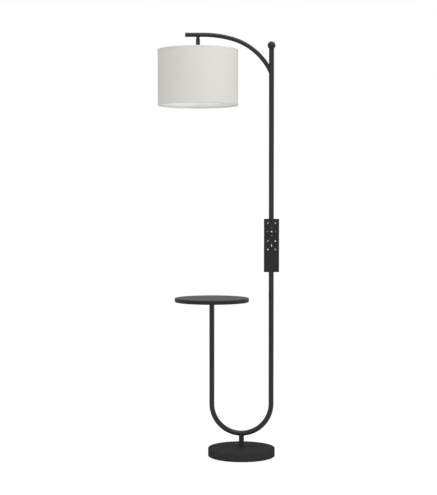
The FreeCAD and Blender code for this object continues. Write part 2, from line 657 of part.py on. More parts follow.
def holder_body():
    """Lamp holder body: wide above the shoulder, threaded skirt below it."""
    outer = HOLDER_BODY_DIAMETER / 2
    skirt = SKIRT_DIAMETER / 2
    bore = SKIRT_BORE / 2
    outline = [(outer, HOLDER_BODY_TOP), (outer, SHOULDER_Z), (skirt, SHOULDER_Z),
               (skirt, SHOULDER_Z - SKIRT_LENGTH), (bore, SHOULDER_Z - SKIRT_LENGTH),
               (bore, CORE_LOW), (outer - HOLDER_WALL, CORE_LOW),
               (outer - HOLDER_WALL, HOLDER_BODY_TOP)]
    return turned(outline, STEM_X)


def holder_core():
    """Ceramic insert that carries the contacts."""
    core_diameter = HOLDER_BODY_DIAMETER - 2 * HOLDER_WALL
    core = rod(core_diameter, CORE_LOW, HOLDER_BODY_TOP, STEM_X)
    wire_holes = [rod(CORE_WIRE_HOLE, CORE_LOW, HOLDER_BODY_TOP, STEM_X + side * core_diameter / 4)
                  for side in (-1, 1)]
    return core.cut(wire_holes)


def holder_contacts():
    """Threaded brass sleeve that the bulb turns into, and the tongue over the bulb's tip."""
    bore = BULB_CAP_DIAMETER + 2 * FIT
    outer = bore + 2 * SCREW_SHELL_WALL
    sleeve = pipe(outer, bore, CORE_LOW - SCREW_SHELL_LENGTH, CORE_LOW, STEM_X)
    half = BULB_TIP_DIAMETER / 2
    tongue = block((STEM_X - half, STEM_X + half), (-TONGUE_WIDTH / 2, TONGUE_WIDTH / 2),
                   (CENTRE_CONTACT_Z, CORE_LOW))
    return Part.makeCompound([sleeve, tongue])


def clamp_ring():
    """Threaded ring that holds the spider against the shoulder."""
    high = SHOULDER_Z - SPIDER_RING_THICKNESS
    return pipe(CLAMP_RING_DIAMETER, SKIRT_DIAMETER, high - CLAMP_RING_HEIGHT, high, STEM_X)


# ---- shade -------------------------------------------------------------------------------
def hoop(height):
    ring = Part.makeTorus(HOOP_RADIUS, HOOP_WIRE / 2)
    ring.translate(point(STEM_X, 0, height))
    return ring


def spider_arm(angle, diameter):
    """Wire from the centre ring up to the top hoop."""
    start = point(SPIDER_ARM_START * math.cos(angle), SPIDER_ARM_START * math.sin(angle),
                  SHOULDER_Z + HOOP_WIRE / 2 - SPIDER_ARM_SINK)
    end = point(HOOP_RADIUS * math.cos(angle), HOOP_RADIUS * math.sin(angle), SHADE_TOP - HOOP_INSET)
    wire = Part.makeCylinder(diameter / 2, (end - start).Length, start, end - start)
    wire.translate(point(STEM_X, 0, 0))
    return wire


def shade_spider():
    """Centre ring, wires and top hoop welded into one frame."""
    ring = pipe(CLAMP_RING_DIAMETER, SKIRT_DIAMETER, SHOULDER_Z - SPIDER_RING_THICKNESS,
                SHOULDER_Z, STEM_X)
    wires = [spider_arm(angle, HOOP_WIRE) for angle in around(SPIDER_ARM_COUNT, 90)]
    return fuse_all([ring, hoop(SHADE_TOP - HOOP_INSET)] + wires)


def shade_bottom_hoop():
    return hoop(SHADE_BOTTOM + HOOP_INSET)


def shade_drum():
    """Fabric on a stiff backing, rolled into a drum."""
    return pipe(2 * DRUM_RADIUS, 2 * (DRUM_RADIUS - SHADE_WALL), SHADE_BOTTOM + TRIM_THICKNESS,
                SHADE_TOP - TRIM_THICKNESS, STEM_X)


def rolled_trim(rim, inward):
    """Fabric strip folded round a rim and its hoop; inward is +1 for up and -1 for down."""
    outer = SHADE_DIAMETER / 2
    inner = TRIM_INNER_RADIUS
    fold = rim + inward * TRIM_THICKNESS
    end = rim + inward * TRIM_HEIGHT
    outline = [(outer, rim), (outer, end), (outer - TRIM_THICKNESS, end),
               (outer - TRIM_THICKNESS, fold), (inner + TRIM_THICKNESS, fold),
               (inner + TRIM_THICKNESS, end), (inner, end), (inner, rim)]
    return turned(outline, STEM_X)


def shade_trims():
    """Lower and upper strips; the upper one is slit where the spider's wires pass."""
    slits = [spider_arm(angle, HOOP_WIRE + 2 * TRIM_SLIT_GAP) for angle in around(SPIDER_ARM_COUNT, 90)]
    return Part.makeCompound([rolled_trim(SHADE_BOTTOM, 1), rolled_trim(SHADE_TOP, -1).cut(slits)])


# ---- bulb --------------------------------------------------------------------------------
def bulb_cap():
    """Thin screw cap with its insulated tip."""
    high = BULB_TOP - BULB_TIP_HEIGHT
    sleeve = pipe(BULB_CAP_DIAMETER, BULB_CAP_DIAMETER - 2 * BULB_CAP_WALL, BULB_CAP_LOW, high, STEM_X)
    end = rod(BULB_CAP_DIAMETER, high - BULB_CAP_WALL, high, STEM_X)
    tip = frustum(BULB_TIP_FOOT, BULB_TIP_DIAMETER, high, BULB_TOP, STEM_X)
    return fuse_all([sleeve, end, tip])


def bulb_body():
    """Collar that flares from the cap to the globe."""
    neck = BULB_CAP_DIAMETER / 2
    wide = BULB_DIAMETER / 2 - BULB_SEAM
    middle_z = BULB_CAP_LOW - BULB_BODY_LENGTH / 2
    waist = (neck + wide) / 2 - BULB_FLARE

    def at(radius, height):
        return (radius - BULB_BODY_WALL, height)

    outside = [(neck, BULB_CAP_LOW), ((waist, middle_z), (wide, BULB_BODY_LOW))]
    inside = [at(wide, BULB_BODY_LOW), (at(waist, middle_z), at(neck, BULB_CAP_LOW))]
    return turned_wire(outside + inside, STEM_X)


def bulb_globe():
    """Frosted diffuser: a hollow dome, widest where it meets the collar."""
    def dome(radius, bottom):
        slant = math.radians(45)
        rise = BULB_BODY_LOW - bottom
        middle = (radius * math.sin(slant), BULB_BODY_LOW - rise * math.cos(slant))
        return turned_wire([(0, bottom), (middle, (radius, BULB_BODY_LOW)), (0, BULB_BODY_LOW)], STEM_X)
    radius = BULB_DIAMETER / 2
    return dome(radius, BULB_LOW).cut(dome(radius - BULB_GLOBE_WALL, BULB_LOW + BULB_GLOBE_WALL))


# ---- remote control ----------------------------------------------------------------------
def on_remote(distance_down):
    """Height of a place given as its distance below the remote's top end."""
    return REMOTE_TOP - distance_down


def round_key(x_offset, row):
    """Returns a maker of the key's outline as a solid, grown all round by a given amount."""
    def make(front, back, grow):
        return pin(KEY_DIAMETER + 2 * grow, front, back, POLE_X + x_offset, on_remote(row))
    return make


def level_key(front, back, grow):
    """Upright oblong with round ends."""
    half_width = LEVEL_KEY_WIDTH / 2 + grow
    half_straight = (LEVEL_KEY_LENGTH - LEVEL_KEY_WIDTH) / 2
    middle = on_remote(LEVEL_ROW)
    ends = [pin(2 * half_width, front, back, POLE_X, middle + side * half_straight) for side in (-1, 1)]
    straight = block((POLE_X - half_width, POLE_X + half_width), (front, back),
                     (middle - half_straight, middle + half_straight))
    return fuse_all([straight] + ends)


def direction_key(turn):
    """Quarter of the ring of direction keys; turn is 0 for right and 90 for up."""
    def make(front, back, grow):
        ring = pin(2 * (PAD_RING_OUTER_RADIUS + grow), front, back, 0, 0).cut(
            pin(2 * (PAD_RING_INNER_RADIUS - grow), front, back, 0, 0))
        apex = (PAD_RING_GAP / 2 - grow) * math.sqrt(2)
        far = 2 * PAD_RING_OUTER_RADIUS
        corners = [point(apex, front, 0), point(apex + far, front, far),
                   point(apex + far, front, -far)]
        wedge = Part.Face(Part.makePolygon(corners + corners[:1])).extrude(point(0, back - front, 0))
        key = ring.common(wedge)
        key.rotate(point(0, 0, 0), BACK, -turn)
        key.translate(point(POLE_X, 0, on_remote(DIRECTION_ROW)))
        return key
    return make


KEYS = {
    "key_power": round_key(-KEY_PITCH / 2, TOP_ROW),
    "key_timer": round_key(KEY_PITCH / 2, TOP_ROW),
    "key_up": direction_key(90),
    "key_down": direction_key(-90),
    "key_left": direction_key(180),
    "key_right": direction_key(0),
    "key_ok": round_key(0, DIRECTION_ROW),
    "key_warm": round_key(-KEY_PITCH / 2, UPPER_ROW),
    "key_cool": round_key(KEY_PITCH / 2, UPPER_ROW),
    "key_level": level_key,
    "key_night": round_key(-KEY_PITCH / 2, LOWER_ROW),
    "key_day": round_key(KEY_PITCH / 2, LOWER_ROW),
}


def key_cap(make):
    """Cap through the front face, with a lip behind the face that keeps it in."""
    lip_front = FRONT_INSIDE + KEY_LIP_GAP
    lip_back = lip_front + KEY_LIP_THICKNESS
    cap = make(REMOTE_FRONT - KEY_PROUD, lip_back, 0)
    return cap.fuse(make(lip_front, lip_back, KEY_LIP)).removeSplitter()


def remote_box(front, back, inset):
    return block((POLE_X - REMOTE_WIDTH / 2 + inset, POLE_X + REMOTE_WIDTH / 2 - inset),
                 (front, back), (REMOTE_LOW + inset, REMOTE_TOP - inset))


def remote_casing(front, back, face):
    """Half of the casing with its outer edges softened; face is the y of its closed side."""
    def outer_edge(edge):
        box = edge.BoundBox
        along_depth = box.XLength < 0.01 and box.ZLength < 0.01
        on_face = abs(box.YMin - face) < 0.01 and abs(box.YMax - face) < 0.01
        return along_depth or on_face
    return round_edges(remote_box(front, back, 0), REMOTE_EDGE_RADIUS, outer_edge)


def remote_screw_places():
    return [(POLE_X + side * REMOTE_SCREW_COLUMN, on_remote(row))
            for side in (-1, 1) for row in REMOTE_SCREW_ROWS]


def remote_screws():
    screws = []
    for x, z in remote_screw_places():
        head = pin(REMOTE_SCREW_HEAD, SCREW_SEAT, SCREW_SEAT + REMOTE_SCREW_HEAD_HEIGHT, x, z)
        shank = pin(REMOTE_SCREW_DIAMETER, PART_LINE - REMOTE_SCREW_BITE, SCREW_SEAT, x, z)
        screws.append(head.fuse(shank).removeSplitter())
    return Part.makeCompound(screws)


def remote_front():
    """Front shell with the openings for the keys, ribs over the membrane and screw posts."""
    shell = remote_casing(REMOTE_FRONT, PART_LINE, REMOTE_FRONT)
    shell = shell.cut(remote_box(FRONT_INSIDE, PART_LINE, REMOTE_WALL))
    shell = shell.cut([make(REMOTE_FRONT, FRONT_INSIDE, FIT) for make in KEYS.values()])
    ribs = [block((POLE_X - RIB_LENGTH / 2, POLE_X + RIB_LENGTH / 2), (FRONT_INSIDE, MEMBRANE_FRONT),
                  (on_remote(row) - RIB_WIDTH / 2, on_remote(row) + RIB_WIDTH / 2)) for row in RIB_ROWS]
    posts = [pin(REMOTE_POST_DIAMETER, FRONT_INSIDE, PART_LINE, x, z) for x, z in remote_screw_places()]
    return shell.multiFuse(ribs + posts).cut(remote_screws())


def battery_bay(inset):
    """Block around the battery cells, grown outward by the wall when inset is negative."""
    return block((POLE_X - BAY_HALF_WIDTH + inset, POLE_X + BAY_HALF_WIDTH - inset),
                 (BAY_FLOOR + inset, BACK_INSIDE), (BAY_LOW + inset, BAY_TOP - inset))


def door_layers(grow):
    """The door's outer layer and, under the shell's lips, its wider inner layer."""
    half = DOOR_WIDTH / 2 + grow
    top = DOOR_TOP + grow
    middle = REMOTE_BACK - DOOR_LAYER
    outer = block((POLE_X - half, POLE_X + half), (middle, REMOTE_BACK), (REMOTE_LOW, top))
    inner = block((POLE_X - half - DOOR_TONGUE, POLE_X + half + DOOR_TONGUE), (BACK_INSIDE, middle),
                  (REMOTE_LOW, top))
    return outer, inner


def remote_back():
    """Back shell with the battery bay between two bulkheads, door rails, bosses and board posts."""
    shell = remote_casing(PART_LINE, REMOTE_BACK, REMOTE_BACK)
    shell = shell.cut(remote_box(PART_LINE, BACK_INSIDE, REMOTE_WALL))
    post_x = BOARD_POST_SPACING / 2
    posts = [pin(BOARD_POST_DIAMETER, BOARD_BACK, BACK_INSIDE, POLE_X + side * post_x, height)
             for side in (-1, 1)
             for height in (BOARD_TOP - BOARD_POST_INSET, BOARD_LOW + BOARD_POST_INSET)]
    bosses = [pin(REMOTE_POST_DIAMETER, PART_LINE, BACK_INSIDE, x, z) for x, z in remote_screw_places()]
    half = REMOTE_WIDTH / 2 - REMOTE_WALL
    bulkheads = [block((POLE_X - half, POLE_X + half), (PART_LINE, BACK_INSIDE), (low, low + BAY_WALL))
                 for low in (BAY_LOW - BAY_WALL, BAY_TOP)]
    shell = shell.multiFuse(posts + bosses + bulkheads + [battery_bay(-BAY_WALL)]).cut(battery_bay(0))
    shell = shell.cut([pin(REMOTE_SCREW_HEAD + FIT, SCREW_SEAT, REMOTE_BACK, x, z)
                       for x, z in remote_screw_places()])
    return shell.cut(remote_screws()).cut(list(door_layers(DOOR_CLEARANCE)))


def battery_door():
    """Sliding door with grip grooves across its outer face."""
    outer, inner = door_layers(0)
    half = DOOR_GRIP_LENGTH / 2
    grooves = []
    for index in range(DOOR_GRIP_COUNT):
        high = DOOR_TOP - DOOR_GRIP_TOP - DOOR_GRIP_PITCH * index
        grooves.append(block((POLE_X - half, POLE_X + half), (REMOTE_BACK - DOOR_GRIP_DEPTH, REMOTE_BACK),
                             (high - DOOR_GRIP_WIDTH, high)))
    return outer.fuse(inner).removeSplitter().cut(grooves)


def battery_cells():
    """Two cells side by side, the right one upside down."""
    cells = []
    for side in (-1, 1):
        x = POLE_X + side * CELL_PITCH / 2
        low = BAY_LOW + CONTACT_SPRING if side < 0 else BAY_TOP - CONTACT_SPRING - CELL_LENGTH
        nub_low = low + CELL_LENGTH if side < 0 else low - CELL_NUB_HEIGHT
        can = rod(CELL_DIAMETER, low, low + CELL_LENGTH, x, CELL_Y)
        nub = rod(CELL_NUB_DIAMETER, nub_low, nub_low + CELL_NUB_HEIGHT, x, CELL_Y)
        cells.append(can.fuse(nub).removeSplitter())
    return Part.makeCompound(cells)


def battery_contacts():
    """Flat plates at the nubs and bent spring leaves at the other ends."""
    contacts = []
    half = CONTACT_WIDTH / 2
    for side in (-1, 1):
        x = POLE_X + side * CELL_PITCH / 2
        nub_wall = BAY_TOP if side < 0 else BAY_LOW
        flat_wall = BAY_LOW if side < 0 else BAY_TOP
        inward = -side
        plate = sorted((nub_wall, nub_wall + side * CONTACT_THICKNESS))
        contacts.append(block((x - half, x + half), (CELL_Y - half, CELL_Y + half), plate))
        leaf = [(CELL_Y - half, 0), (CELL_Y - half, CONTACT_THICKNESS),
                (CELL_Y - half / 2, CONTACT_THICKNESS),
                (CELL_Y + half, CONTACT_SPRING), (CELL_Y + half, CONTACT_SPRING - CONTACT_THICKNESS),
                (CELL_Y - half / 2, 0)]
        corners = [point(x - half, y, flat_wall + inward * height) for y, height in leaf]
        profile = Part.Face(Part.makePolygon(corners + corners[:1]))
        contacts.append(profile.extrude(point(2 * half, 0, 0)))
    return Part.makeCompound(contacts)


def board_block(front, back):
    return block((POLE_X - BOARD_WIDTH / 2, POLE_X + BOARD_WIDTH / 2), (front, back),
                 (BOARD_LOW, BOARD_TOP))


def keypad_membrane():
    return board_block(MEMBRANE_FRONT, BOARD_FRONT)


def remote_board():
    return board_block(BOARD_FRONT, BOARD_BACK)


def strike_plate():
    """Steel plate inside the back shell that the holder's magnets pull on."""
    return block((POLE_X - STRIKE_WIDTH / 2, POLE_X + STRIKE_WIDTH / 2),
                 (BACK_INSIDE - STRIKE_THICKNESS, BACK_INSIDE),
                 (PAD_CENTRE_Z - STRIKE_LENGTH / 2, PAD_CENTRE_Z + STRIKE_LENGTH / 2))


# ---- holder on the pole ------------------------------------------------------------------
def clip_magnets():
    heights = (PAD_CENTRE_Z - MAGNET_SPACING / 2, PAD_CENTRE_Z + MAGNET_SPACING / 2)
    return Part.makeCompound([pin(MAGNET_DIAMETER, PAD_FRONT, PAD_FRONT + MAGNET_THICKNESS, POLE_X, z)
                              for z in heights])


def clip_on_pole():
    """Snap-on clip round the pole with a flat pad in front for the remote."""
    low = PAD_CENTRE_Z - CLIP_HEIGHT / 2
    high = PAD_CENTRE_Z + CLIP_HEIGHT / 2
    collar = rod(POLE_DIAMETER + 2 * CLIP_WALL, low, high, POLE_X)
    reach = POLE_DIAMETER + CLIP_WALL
    spread = reach * math.tan(math.radians(CLIP_MOUTH / 2))
    corners = [point(POLE_X, 0, low), point(POLE_X + spread, reach, low),
               point(POLE_X - spread, reach, low)]
    mouth = Part.Face(Part.makePolygon(corners + corners[:1])).extrude(point(0, 0, high - low))
    half_width = HOLDER_PAD_WIDTH / 2
    pad = block((POLE_X - half_width, POLE_X + half_width), (PAD_FRONT, -POLE_RADIUS - CLIP_PAD_GAP),
                (PAD_CENTRE_Z - HOLDER_PAD_LENGTH / 2, PAD_CENTRE_Z + HOLDER_PAD_LENGTH / 2))
    clip = fuse_all([collar.cut(mouth), pad])
    return clip.cut(rod(POLE_DIAMETER, low - OVERCUT, high + OVERCUT, POLE_X)).cut(clip_magnets())


PIECES = {
    "base_cover": base_cover, "base_weight": base_weight, "base_plate": base_plate,
    "base_pad": base_pad, "plate_screws": plate_screws, "cord_bushing": cord_bushing,
    "base_washer": base_washer, "base_nut": base_nut, "base_nipple": base_nipple,
    "neck_plug": neck_plug, "base_neck": base_neck, "u_tube": u_tube,
    "table_flange": table_flange, "table_screws": table_screws, "table_top": table_top,
    "joint_socket": joint_socket, "joint_stud": joint_stud, "upper_pole": upper_pole,
    "finial_plug": finial_plug, "ball_finial": ball_finial,
    "arm_tube": arm_tube, "arm_end_cap": arm_end_cap, "stem_boss": stem_boss,
    "stem_nipple": stem_nipple, "stem_sleeve": stem_sleeve, "holder_cap": holder_cap,
    "holder_body": holder_body, "holder_core": holder_core, "holder_contacts": holder_contacts,
    "clamp_ring": clamp_ring, "shade_spider": shade_spider,
    "shade_bottom_hoop": shade_bottom_hoop, "shade_drum": shade_drum, "shade_trims": shade_trims,
    "bulb_cap": bulb_cap, "bulb_body": bulb_body, "bulb_globe": bulb_globe,
    "clip_on_pole": clip_on_pole, "clip_magnets": clip_magnets,
    "remote_front": remote_front, "remote_back": remote_back, "remote_screws": remote_screws,
    "remote_board": remote_board, "keypad_membrane": keypad_membrane,
    "strike_plate": strike_plate, "battery_door": battery_door,
    "battery_cells": battery_cells, "battery_contacts": battery_contacts,
}


def main():
    os.makedirs("parts", exist_ok=True)
    shapes = {name: make() for name, make in PIECES.items()}
    shapes.update({name: key_cap(make) for name, make in KEYS.items()})
    for name, shape in shapes.items():
        shape.exportStep(os.path.join("parts", name + ".step"))


main()
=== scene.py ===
import bmesh
import bpy
import math
from mathutils import Matrix, Vector, noise


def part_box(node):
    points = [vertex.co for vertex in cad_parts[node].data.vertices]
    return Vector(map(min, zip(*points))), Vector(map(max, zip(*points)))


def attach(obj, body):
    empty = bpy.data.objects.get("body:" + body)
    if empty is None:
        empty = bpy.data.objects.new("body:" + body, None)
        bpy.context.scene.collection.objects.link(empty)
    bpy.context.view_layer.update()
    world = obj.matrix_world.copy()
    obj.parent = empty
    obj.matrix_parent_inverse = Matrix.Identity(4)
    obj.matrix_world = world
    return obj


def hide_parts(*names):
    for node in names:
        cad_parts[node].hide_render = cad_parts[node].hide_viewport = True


# Looks of the floor lamp with a round side table.  Metres, +Z up, the same frame as the model.

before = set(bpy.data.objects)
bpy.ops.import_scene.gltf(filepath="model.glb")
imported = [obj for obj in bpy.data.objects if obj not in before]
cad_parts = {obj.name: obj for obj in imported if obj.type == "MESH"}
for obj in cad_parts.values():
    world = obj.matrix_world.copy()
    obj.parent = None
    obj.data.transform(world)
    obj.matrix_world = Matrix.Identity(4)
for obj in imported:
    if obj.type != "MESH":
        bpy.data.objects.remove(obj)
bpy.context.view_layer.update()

MM = 0.001
SAME_POINT = 1e-7                       # points nearer than this are joined
SHARP_ANGLE = math.radians(35)

# ---- camera, fitted to the photograph
CAMERA_PLACE = (-0.08604, -4.72207, 0.95340)
CAMERA_PITCH = math.radians(2.074)      # below level
CAMERA_LENS = 92.01                     # for a sensor of 36 along the picture's long side
CAMERA_SENSOR = 36.0

# ---- light
WORLD_LEVEL = 0.69
LIGHT_TARGET = (0, 0, 0.9)
KEY_PLACE, KEY_SIZE, KEY_POWER = (-0.6, -6.7, 1.6), (4.4, 4.4), 38.0
TOP_PLACE, TOP_SIZE, TOP_POWER = (0.65, -1.0, 3.6), (2.4, 0.4), 39.0
FLOOR_SIZE = 40.0
FLOOR_DROP = 0.2 * MM                   # below the pad, so that the two faces don't coincide
FLOOR_GLOW = 0.905                      # what the camera sees of the floor besides its shading
FLOOR_SHADING = 0.15                    # of that shading, a share this large
FLOOR_COLOUR = 0.88

# ---- tubes
POLE_RADIUS = 9.5 * MM
TUBE_WALL = 1.2 * MM
ARM_RADIUS = 8.0 * MM
ARM_STRAIGHT_END = 253.0 * MM           # pole axis to where the arm starts to bend
ARM_UPPER_RADIUS = 390.0 * MM
ARM_UPPER_SWEEP = math.radians(16.2)
ARM_ENTRY_SLOPE = math.radians(67.5)
TUBE_SIDES = 64
U_STEPS, WIDE_STEPS, TIGHT_STEPS = 128, 40, 80      # of the three bends
TABLE_SPIGOT = 20.0 * MM                # of the table's flange, inside the left leg
ARM_CAP = 1.5 * MM
ARM_END_ROWS = 14                       # of faces where the arm runs out against the pole
END_CHAMFER = 0.35 * MM
WELD_RADIUS = 1.1 * MM
WELD_RIPPLE = 0.07 * MM
WELD_RIPPLE_PITCH = 1.3 * MM
WELD_UNEVENNESS = 0.08                  # of the bead's radius
WELD_LUMP = 9 * MM
WELD_SIDES = 16
WELD_STEPS = 6                          # to each ripple
SMALL_WELD = 0.7                        # share of the radius, round the stem's boss

# ---- shade
SHADE_COLUMNS = 720
SHADE_ROWS = 24
TRIM_SAMPLES = 24                       # along the trim's section
EDGE_SAMPLES = 3                        # of those, next to each edge, that the wave moves
HEM_STEPS, FOLD_STEPS = 4, 12
TRIM_THICKNESS = 0.4 * MM
TRIM_HEIGHT = 6.0 * MM
CLOTH_THICKNESS = 0.28 * MM
BACKING_THICKNESS = 0.45 * MM
THREAD_PITCH = 0.62 * MM
THREAD_SCALE = 0.314159 / THREAD_PITCH  # of a wave texture with one band to each thread
SEAM_OVERLAP = 12.0 * MM
BACKING_GAP = 0.3 * MM
OVERLAP_RISE = 2.5 * MM                 # run over which the cloth's end climbs onto its start
STEP_RISE = 1.5 * MM                    # and the trims over that end
LAYER_GAP = 0.02 * MM
TRIM_GAP = 0.05 * MM
TRIM_WAVE = 0.12 * MM
WAVE_DENSITY = 7
FOLD_SLACK = 0.15 * MM                  # of the trim round the hoop
NOTCH_CLEARANCE = 0.3 * MM              # of the upper trim beside each wire
NOTCH_RAMP = 0.8 * MM
NOTCH_SHARE = 0.75                      # of the fold's last quarter turn
SEAM_ANGLE = math.radians(90)           # the seam is at the back
HOOP_WIRE = 3.5 * MM
SPIDER_RING = 1.2 * MM
SPIDER_ANGLES = [math.radians(a) for a in (90, 210, 330)]

# ---- small pieces
BULB_PITCH = 3.63 * MM                  # thread of the bulb's cap and of the sleeve it turns in
COAT_ROUGHNESS = 0.14
RECESS_REACH, RECESS_WIDTH = 0.62, 0.28 # of the cross in a screw's head, as shares of its radius
RECESS_DEPTH = 0.7                      # share of the head's height
ICON_THICKNESS = 0.05 * MM
ICON_RING = 14.5 * MM                   # from the middle key to the direction keys' icons


# ---- places read from the frame
def low(node):
    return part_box(node)[0]


def high(node):
    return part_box(node)[1]


def middle(node):
    return (low(node) + high(node)) / 2


def radius_of(node):
    return (high(node).x - low(node).x) / 2


def heights_of(node):
    return low(node).z, high(node).z


POLE_X = middle("remote_front").x
TABLE_X = middle("table_top").x
STEM_X = middle("stem_sleeve").x
SHADE_RADIUS = radius_of("shade_trims")
SHADE_LOW, SHADE_HIGH = heights_of("shade_trims")
ARM_AXIS_Z = high("arm_tube").z - ARM_RADIUS
BEND_CENTRE_Z = low("u_tube").z + POLE_RADIUS + POLE_X


# ---- small helpers
def angles(count):
    """Equal steps round a circle."""
    return [2 * math.pi * i / count for i in range(count)]


def levels(start, end, steps):
    """Values in equal steps from start to end, both included."""
    return [start + (end - start) * i / steps for i in range(steps + 1)]


def rotated(point, angle):
    """Point of a plane, turned about its origin."""
    x, y = point
    return x * math.cos(angle) - y * math.sin(angle), x * math.sin(angle) + y * math.cos(angle)


def clamped(value):
    return min(1.0, max(0.0, value))


def eased(value):
    """Smooth step from 0 to 1."""
    value = clamped(value)
    return value * value * (3 - 2 * value)


def linked(name, data):
    """New object in the scene."""
    obj = bpy.data.objects.new(name, data)
    bpy.context.scene.collection.objects.link(obj)
    return obj


def distances(points):
    """Running length along a list of points."""
    total = [0.0]
    for before, after in zip(points, points[1:]):
        total.append(total[-1] + (Vector(after) - Vector(before)).length)
    return total


def skin(name, loops, closed=False, capped=False):
    """Mesh through loops of points; each loop is closed, and with closed the last joins the first.

    Its UV map is in metres: u runs round the loops and v from loop to loop."""
    count = len(loops[0])
    rows = len(loops) if closed else len(loops) - 1
    mesh = bpy.data.meshes.new(name)
    around = [distances(list(loop) + [loop[0]]) for loop in loops]
    along = distances([loop[0] for loop in loops] + ([loops[0][0]] if closed else []))
    faces, uvs = [], []
    for row in range(rows):
        after = (row + 1) % len(loops)
        for column in range(count):
            beside = (column + 1) % count
            faces.append((row * count + column, row * count + beside,
                          after * count + beside, after * count + column))
            uvs += [(around[line][place], along[height]) for line, place, height in
                    ((row, column, row), (row, column + 1, row),
                     (after, column + 1, row + 1), (after, column, row + 1))]
    if capped:
        for row in (0, len(loops) - 1):
            faces.append(tuple(row * count + column for column in range(count)))
            uvs += [(point[0], point[1]) for point in loops[row]]
    mesh.from_pydata([tuple(point) for loop in loops for point in loop], [], faces)
    layer = mesh.uv_layers.new(name="metres")
    for corner, uv in zip(layer.data, uvs):
        corner.uv = uv
    tidy(mesh)
    return mesh


def tidy(mesh):
    """Joins points that coincide, turns the faces outwards and sets smooth shading."""
    work = bmesh.new()
    work.from_mesh(mesh)
    bmesh.ops.remove_doubles(work, verts=work.verts, dist=SAME_POINT)
    bmesh.ops.recalc_face_normals(work, faces=work.faces)
    work.to_mesh(mesh)
    work.free()
    for polygon in mesh.polygons:
        polygon.use_smooth = True
    mesh.set_sharp_from_angle(angle=SHARP_ANGLE)


def turned(name, outline, x=0.0, sides=128, shape=None):
    """Solid of revolution about an upright axis, from a closed outline of (radius, height) points.

    shape(radius, angle, height) may change the radius from place to place."""
    loops = []
    for radius, height in outline:
        loop = []
        for angle in angles(sides):
            r = shape(radius, angle, height) if shape else radius
            loop.append((x + r * math.cos(angle), r * math.sin(angle), height))
        loops.append(loop)
    return skin(name, loops, closed=True)


def joined(name, meshes):
    """One mesh from several."""
    work = bmesh.new()
    for mesh in meshes:
        work.from_mesh(mesh)
    result = bpy.data.meshes.new(name)
    work.to_mesh(result)
    work.free()
    tidy(result)
    return result


def carve(mesh, cutter):
    """Mesh with the space of another closed mesh taken out."""
    whole, tool = linked("whole", mesh), linked("tool", cutter)
    cut = whole.modifiers.new("cut", "BOOLEAN")
    cut.operation = "DIFFERENCE"
    cut.object = tool
    cut.solver = "EXACT"
    bpy.context.view_layer.update()
    graph = bpy.context.evaluated_depsgraph_get()
    result = bpy.data.meshes.new_from_object(whole.evaluated_get(graph))
    result.name = mesh.name
    for obj in (whole, tool):
        bpy.data.objects.remove(obj)
    tidy(result)
    return result


def piece(mesh, material, body="lamp", replaced=()):
    """Puts a mesh in the scene on its body."""
    obj = linked(mesh.name, mesh)
    mesh.materials.clear()
    mesh.materials.append(material)
    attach(obj, body)
    if replaced:
        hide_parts(*replaced)
    return obj


